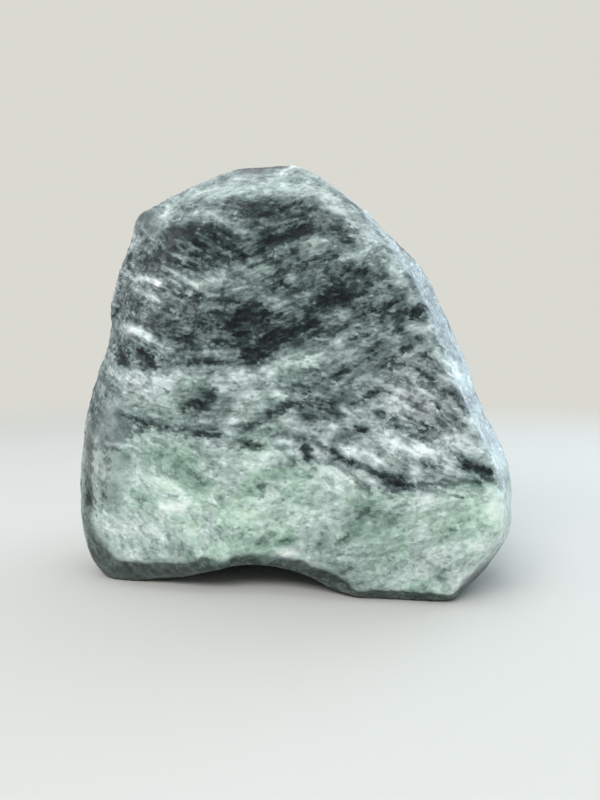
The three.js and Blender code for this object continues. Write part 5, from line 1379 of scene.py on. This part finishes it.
me = bpy.data.meshes.new("soapstone_rock")
me.vertices.add(NV)
me.vertices.foreach_set("co", ((V - PLACE) / 1000.0).astype(np.float32).ravel())
me.loops.add(len(TRI) * 3)
me.loops.foreach_set("vertex_index", TRI.astype(np.int32).ravel())
me.polygons.add(len(TRI))
me.polygons.foreach_set("loop_start", np.arange(0, len(TRI) * 3, 3, dtype=np.int32))
me.polygons.foreach_set("loop_total", np.full(len(TRI), 3, dtype=np.int32))
me.update(calc_edges=True)
me.validate()
me.shade_smooth()


def keep(name, data):
    data = np.ascontiguousarray(data, dtype=np.float32)
    kind = "FLOAT" if data.ndim == 1 else "FLOAT_VECTOR"
    a = me.attributes.new(name, kind, "POINT")
    a.data.foreach_set("value" if data.ndim == 1 else "vector", data.ravel())


keep("band_falls", FR[0])
keep("band_climbs", FR[1])
keep("band_flat", FR[2])
keep("band_mix", W)
keep("kind", np.stack([F["talc"], np.clip(F["green"], 0, 1), np.clip(F["purple"], 0, 1)], 1))
keep("tone", np.stack([F["tone"], np.clip(F["damp_shade"], 0, 1), CALM], 1))
keep("trace", np.stack([F["vein"], F["lens"], 0 * calm], 1))

ob = bpy.data.objects.new("soapstone_rock", me)
bpy.context.scene.collection.objects.link(ob)

# ------------------------------------------------------------------ the stone
mat = bpy.data.materials.new("soapstone")
mat.use_nodes = True
nt = mat.node_tree
bsdf = nt.nodes["Principled BSDF"]
LX = [0]


def node(kind, **props):
    n = nt.nodes.new(kind)
    LX[0] += 1
    n.location = (-260 * (1 + LX[0] % 9), 260 * (LX[0] // 9))
    for k, v in props.items():
        setattr(n, k, v)
    return n


def put(sock, v):
    if hasattr(v, "is_output"):
        nt.links.new(v, sock)
    else:
        sock.default_value = v


def calc(op, a, b=0.0, c=0.0, clamp=False):
    n = node("ShaderNodeMath", operation=op, use_clamp=clamp)
    put(n.inputs[0], a)
    put(n.inputs[1], b)
    put(n.inputs[2], c)
    return n.outputs[0]


def add(a, b): return calc("ADD", a, b)
def mul(a, b): return calc("MULTIPLY", a, b)


def span(x, a, b, c=0.0, d=1.0, soft=True):
    n = node("ShaderNodeMapRange", interpolation_type="SMOOTHSTEP" if soft else "LINEAR")
    put(n.inputs["Value"], x)
    for k, v in (("From Min", a), ("From Max", b), ("To Min", c), ("To Max", d)):
        n.inputs[k].default_value = v
    return n.outputs["Result"]


def attr(name):
    return node("ShaderNodeAttribute", attribute_type="GEOMETRY", attribute_name=name).outputs["Vector"]


def split_xyz(v):
    n = node("ShaderNodeSeparateXYZ")
    nt.links.new(v, n.inputs[0])
    return n.outputs[0], n.outputs[1], n.outputs[2]


def scaled(v, s, shift=(0, 0, 0)):
    n = node("ShaderNodeVectorMath", operation="MULTIPLY_ADD")
    nt.links.new(v, n.inputs[0])
    n.inputs[1].default_value = s
    n.inputs[2].default_value = shift
    return n.outputs[0]


def noise(v, s, shift=(0, 0, 0), detail=2.0, rough=0.5, distort=0.0):
    """Noise in mm coordinates, about -1 to 1."""
    n = node("ShaderNodeTexNoise")
    n.noise_dimensions = "3D"
    nt.links.new(scaled(v, tuple(1.0 / x for x in s), shift), n.inputs["Vector"])
    n.inputs["Scale"].default_value = 1.0
    n.inputs["Detail"].default_value = detail
    n.inputs["Roughness"].default_value = rough
    n.inputs["Distortion"].default_value = distort
    return calc("MULTIPLY_ADD", n.outputs["Fac"], 4.0, -2.0)


def grains(v, s, shift=(0, 0, 0), jitter=1.0):
    """One random value per grain, -1 to 1, and the distance to its edge."""
    n = node("ShaderNodeTexVoronoi", voronoi_dimensions="3D", feature="F1")
    nt.links.new(scaled(v, tuple(1.0 / x for x in s), shift), n.inputs["Vector"])
    n.inputs["Scale"].default_value = 1.0
    n.inputs["Randomness"].default_value = jitter
    c = split_xyz(n.outputs["Color"])
    return calc("MULTIPLY_ADD", c[0], 2.0, -1.0), calc("MULTIPLY_ADD", c[1], 2.0, -1.0), n.outputs["Distance"]


def colour_ramp(x, stops, mode="LINEAR"):
    n = node("ShaderNodeValToRGB")
    n.color_ramp.interpolation = mode
    e = n.color_ramp.elements
    while len(e) < len(stops):
        e.new(0.5)
    for i, (pos, rgb) in enumerate(stops):
        e[i].position = pos
        e[i].color = tuple(((c / 255.0) / 12.92 if c / 255.0 <= 0.04045 else ((c / 255.0 + 0.055) / 1.055) ** 2.4) for c in rgb) + (1.0,)
    put(n.inputs[0], x)
    return n.outputs[0]


def blend(f, a, b, mode="MIX"):
    n = node("ShaderNodeMix", data_type="RGBA", blend_type=mode)
    put(n.inputs[0], f)
    for s, v in ((n.inputs[6], a), (n.inputs[7], b)):
        if hasattr(v, "is_output"):
            nt.links.new(v, s)
        else:
            s.default_value = tuple(((c / 255.0) / 12.92 if c / 255.0 <= 0.04045 else ((c / 255.0 + 0.055) / 1.055) ** 2.4) for c in v) + (1.0,)
    return n.outputs[2]


geo = node("ShaderNodeTexCoord")
mm = scaled(geo.outputs["Object"], (1000.0, 1000.0, 1000.0))
fa, fb, fc = attr("band_falls"), attr("band_climbs"), attr("band_flat")
wa, wb, wc = split_xyz(attr("band_mix"))
talc_v, green_v, purple_v = split_xyz(attr("kind"))
tone_v, damp_shade_v, calm_v = split_xyz(attr("tone"))


def pick(a, b, choose):
    n = node("ShaderNodeMix", data_type="VECTOR")
    nt.links.new(choose, n.inputs[0])
    nt.links.new(a, n.inputs[4])
    nt.links.new(b, n.inputs[5])
    return n.outputs[1]


# the ruling set of bands at each place, with a ragged border between one set and the next
fray = noise(mm, (5.5, 5.5, 4.0), (2.0, 7.0, 4.0), detail=3.0, rough=0.6)
wb2 = calc("MULTIPLY_ADD", fray, 0.16, wb)
band = pick(fa, fb, calc("GREATER_THAN", wb2, wa))
band = pick(band, fc, calc("GREATER_THAN", calc("MULTIPLY_ADD", fray, -0.16, wc), calc("MAXIMUM", wa, wb2)))


def jog(f, amount, size, shift):
    """Roughens the straight edges of the grains a little."""
    n = node("ShaderNodeTexNoise")
    nt.links.new(scaled(mm, (1.0 / size,) * 3, shift), n.inputs["Vector"])
    n.inputs["Scale"].default_value = 1.0
    n.inputs["Detail"].default_value = 1.0
    s = node("ShaderNodeVectorMath", operation="MULTIPLY_ADD")
    nt.links.new(n.outputs["Color"], s.inputs[0])
    s.inputs[1].default_value = (amount * 1.3, amount, amount * 1.3)
    nt.links.new(f, s.inputs[2])
    return s.outputs[0]


vein_v, lens_v, _ = split_xyz(attr("trace"))
grain_band = jog(band, 0.30, 1.4, (0, 0, 0))
coarse = noise(band, (13.0, 4.4, 10.0), detail=1.4, rough=0.5)
lamina = noise(band, (16.0, 2.7, 11.0), (4.1, 9.4, 2.6), detail=1.4, rough=0.55)
leaf = noise(band, (6.5, 1.15, 5.0), (8.2, 1.3, 5.5), detail=0.8, rough=0.5)
clump = noise(mm, (5.6, 5.2, 4.4), (6.4, 2.2, 9.3), detail=1.6, rough=0.55)
streak = noise(band, (5.0, 1.8, 3.8), (7.3, 3.1, 1.7), detail=0.5, rough=0.5)
flake = grains(grain_band, (4.2, 2.6, 3.8))[0]
chip = grains(grain_band, (1.8, 1.3, 1.65), (3.7, 8.1, 5.3))[0]
grit = noise(mm, (1.7, 1.5, 1.35), (3.3, 9.2, 4.4), detail=1.2, rough=0.6)
cell_a, cell_b, _ = grains(mm, (1.9, 1.8, 1.2))
_, cell_e, _ = grains(mm, (3.6, 3.2, 2.1), (5.1, 2.2, 8.8))
cloud = noise(mm, (19.0, 19.0, 14.0), (1.1, 6.2, 2.8), detail=3.0, rough=0.55)

talc_n = add(talc_v, add(mul(streak, 0.18), add(mul(coarse, 0.28), mul(chip, 0.20))))
talc = span(talc_n, -0.26, 0.26)
ragged = add(mul(chip, 0.34), add(mul(grit, 0.22), mul(flake, 0.24)))
# light streaks: veins, and painted highlights on some ledge edges
vein = span(add(vein_v, ragged), 0.35, 1.30, 1.0, 0.0)
lens = span(add(lens_v, mul(ragged, 1.35)), 0.50, 1.35, 1.0, 0.0)

# a few grains stand out: black specks, and pale specks that are partly pale grains and partly painted glints
speck = calc("SUBTRACT", span(cell_a, 0.72, 0.98), span(cell_a, -0.66, -0.96))
dark_mix = add(add(add(mul(lamina, 0.095), mul(leaf, 0.048)), add(mul(coarse, 0.065), add(mul(clump, 0.075), mul(flake, 0.082)))), add(mul(chip, 0.070), add(mul(streak, 0.035), add(mul(grit, 0.042), mul(speck, 0.11)))))
talc_mix = add(add(add(mul(lamina, 0.042), mul(leaf, 0.022)), add(mul(coarse, 0.045), add(mul(clump, 0.080), mul(flake, 0.082)))), add(mul(chip, 0.060), add(mul(streak, 0.030), add(mul(grit, 0.042), mul(speck, 0.105)))))
marked = add(tone_v, add(mul(vein, 0.09), mul(lens, -0.125)))
calmer = calc("MULTIPLY_ADD", calm_v, -0.60, 1.0)
tone_dark = calc("MULTIPLY_ADD", dark_mix, mul(span(tone_v, 0.26, 0.60, 1.20, 0.86), calmer), calc("MAXIMUM", marked, 0.14), clamp=True)
tone_talc = calc("MULTIPLY_ADD", talc_mix, mul(calmer, 1.15), add(marked, 0.016), clamp=True)

rock_col = colour_ramp(tone_dark, [(0.0, (2, 7, 8)), (0.15, (15, 27, 28)), (0.32, (48, 62, 63)), (0.52, (104, 119, 118)),
                                   (0.70, (155, 170, 168)), (0.86, (200, 214, 213)), (1.0, (234, 243, 244))])
talc_col = colour_ramp(tone_talc, [(0.0, (40, 54, 51)), (0.22, (86, 105, 98)), (0.42, (131, 151, 145)), (0.60, (169, 187, 181)),
                                   (0.78, (206, 221, 216)), (1.0, (242, 249, 247))])
col = blend(talc, rock_col, talc_col)
green_n = calc("MULTIPLY", span(add(green_v, add(mul(cell_e, 0.22), mul(cloud, 0.16))), 0.10, 0.95), 0.42)
col = blend(green_n, col, blend(1.0, col, (194, 231, 200), "MULTIPLY"))
purple_n = calc("MULTIPLY", span(add(purple_v, add(mul(cell_b, 0.25), mul(streak, 0.18))), 0.15, 0.9), 0.75)
col = blend(purple_n, col, blend(1.0, col, (253, 243, 247), "MULTIPLY"))
rust = calc("MULTIPLY", span(add(cell_e, mul(cloud, 0.4)), 0.82, 1.05), 0.22)
col = blend(rust, col, blend(1.0, col, (236, 214, 190), "MULTIPLY"))
# darken the base, the arch and the faces turned down: painted shade, in two greys that break up over the grain
base_shade = calc("MULTIPLY", span(add(damp_shade_v, mul(ragged, 0.30)), 0.05, 0.62), 0.965)
shade_patches = span(add(mul(flake, 0.50), add(mul(chip, 0.40), add(mul(lamina, 0.45), mul(streak, 0.25)))), -0.75, 0.85)
col = blend(base_shade, col, blend(1.0, col, blend(shade_patches, (54, 65, 66), (112, 122, 122)), "MULTIPLY"))
nt.links.new(col, bsdf.inputs["Base Color"])

rgh = add(calc("MULTIPLY_ADD", grit, 0.05, 0.36), add(mul(cell_b, 0.08), mul(talc, 0.05)))
rgh = calc("SUBTRACT", rgh, mul(damp_shade_v, 0.10), clamp=True)
nt.links.new(calc("MAXIMUM", rgh, 0.14), bsdf.inputs["Roughness"])
bsdf.inputs["Coat Weight"].default_value = 0.12
bsdf.inputs["Coat Roughness"].default_value = 0.22
bsdf.inputs["IOR"].default_value = 1.5

relief_mm = add(mul(streak, 0.045), add(mul(grit, 0.040), add(mul(chip, 0.035), add(mul(flake, 0.03), mul(coarse, 0.09)))))
relief_mm = mul(relief_mm, calc("MULTIPLY_ADD", calm_v, -0.6, 1.0))
bump = node("ShaderNodeBump")
bump.inputs["Strength"].default_value = 1.0
bump.inputs["Distance"].default_value = 0.001
nt.links.new(relief_mm, bump.inputs["Height"])
nt.links.new(bump.outputs[0], bsdf.inputs["Normal"])
me.materials.append(mat)
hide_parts("soapstone")
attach(ob, "root")

# ------------------------------------------------------------------ camera, floor, light
cam = bpy.data.cameras.new("camera")
cam.lens = 27.05
cam.sensor_width = 36.0
cam_ob = bpy.data.objects.new("camera", cam)
cam_ob.location = (0.00469, -0.31068, 0.1068)
cam_ob.rotation_euler = (math.radians(90 - 5.1), 0, 0)
bpy.context.scene.collection.objects.link(cam_ob)
bpy.context.scene.camera = cam_ob

fm = bpy.data.meshes.new("floor")
R = 4.0
ring = [(R * math.cos(i * math.pi / 32), R * math.sin(i * math.pi / 32), 0) for i in range(64)]
fm.from_pydata(ring, [], [list(range(64))])
floor = bpy.data.objects.new("floor", fm)
bpy.context.scene.collection.objects.link(floor)
fmat = bpy.data.materials.new("floor")
fmat.use_nodes = True
ft = fmat.node_tree
b = ft.nodes["Principled BSDF"]
b.inputs["Base Color"].default_value = (0.54, 0.535, 0.51, 1)
b.inputs["Roughness"].default_value = 0.8
# the floor runs out into the backdrop, so no horizon line crosses behind the stone
fc = ft.nodes.new("ShaderNodeTexCoord")
fl = ft.nodes.new("ShaderNodeVectorMath")
fl.operation = "LENGTH"
ft.links.new(fc.outputs["Object"], fl.inputs[0])
away = ft.nodes.new("ShaderNodeMapRange")
away.interpolation_type = "SMOOTHSTEP"
ft.links.new(fl.outputs["Value"], away.inputs["Value"])
away.inputs["From Min"].default_value = 0.30
away.inputs["From Max"].default_value = 0.95
wall = ft.nodes.new("ShaderNodeEmission")
wall.inputs["Color"].default_value = (0.70, 0.70, 0.645, 1)
fmix = ft.nodes.new("ShaderNodeMixShader")
ft.links.new(away.outputs["Result"], fmix.inputs[0])
ft.links.new(b.outputs[0], fmix.inputs[1])
ft.links.new(wall.outputs[0], fmix.inputs[2])
ft.links.new(fmix.outputs[0], ft.nodes["Material Output"].inputs["Surface"])
fm.materials.append(fmat)

w = bpy.data.worlds.new("world")
w.use_nodes = True
wt = w.node_tree
bg = wt.nodes["Background"]
bg.inputs[0].default_value = (0.70, 0.70, 0.645, 1)
bg.inputs[1].default_value = 1.0
# the room the stone mirrors: open pale sky overhead and behind, dimmer in front
tc = wt.nodes.new("ShaderNodeTexCoord")
sx = wt.nodes.new("ShaderNodeSeparateXYZ")
wt.links.new(tc.outputs["Generated"], sx.inputs[0])
mix = wt.nodes.new("ShaderNodeMath")
mix.operation = "MULTIPLY_ADD"
wt.links.new(sx.outputs[1], mix.inputs[0])
mix.inputs[1].default_value = 0.40
wt.links.new(sx.outputs[2], mix.inputs[2])
room = wt.nodes.new("ShaderNodeValToRGB")
wt.links.new(mix.outputs[0], room.inputs[0])
e = room.color_ramp.elements
e[0].position, e[0].color = 0.0, (0.20, 0.21, 0.21, 1)
e[1].position, e[1].color = 0.95, (0.92, 0.96, 1.0, 1)
m = e.new(0.50)
m.color = (0.36, 0.39, 0.40, 1)
bg2 = wt.nodes.new("ShaderNodeBackground")
wt.links.new(room.outputs[0], bg2.inputs[0])
bg2.inputs[1].default_value = 1.0
lp = wt.nodes.new("ShaderNodeLightPath")
ms = wt.nodes.new("ShaderNodeMixShader")
wt.links.new(lp.outputs["Is Camera Ray"], ms.inputs[0])
wt.links.new(bg2.outputs[0], ms.inputs[1])
wt.links.new(bg.outputs[0], ms.inputs[2])
wt.links.new(ms.outputs[0], wt.nodes["World Output"].inputs[0])
bpy.context.scene.world = w
bpy.context.scene.view_settings.view_transform = "Standard"


def area(name, loc, target, size, power, color, mirrored=True):
    l = bpy.data.lights.new(name, "AREA")
    l.shape = "RECTANGLE"
    l.size, l.size_y = size
    l.energy = power
    l.color = color
    o = bpy.data.objects.new(name, l)
    o.location = loc
    o.rotation_euler = (Vector(target) - Vector(loc)).to_track_quat("-Z", "Y").to_euler()
    o.visible_glossy = mirrored
    bpy.context.scene.collection.objects.link(o)


area("key", (-0.45, -0.85, 1.05), (0, 0, 0.08), (0.9, 0.6), 12.2, (1.0, 0.985, 0.955), False)
area("sky_right", (1.05, 0.66, 0.52), (0.06, 0, 0.12), (0.9, 1.25), 12.0, (0.72, 0.89, 1.0))
area("sky_top", (-0.1, 0.28, 1.30), (0, 0, 0.15), (1.2, 0.8), 4.6, (0.88, 0.95, 1.0))
area("left_glint", (-1.0, -0.45, 0.75), (0, 0, 0.12), (0.5, 0.5), 2.5, (0.92, 0.97, 1.0))
area("right_fill", (0.95, -0.45, 0.20), (0.05, 0, 0.06), (0.5, 0.4), 1.9, (0.90, 0.96, 1.0), False)
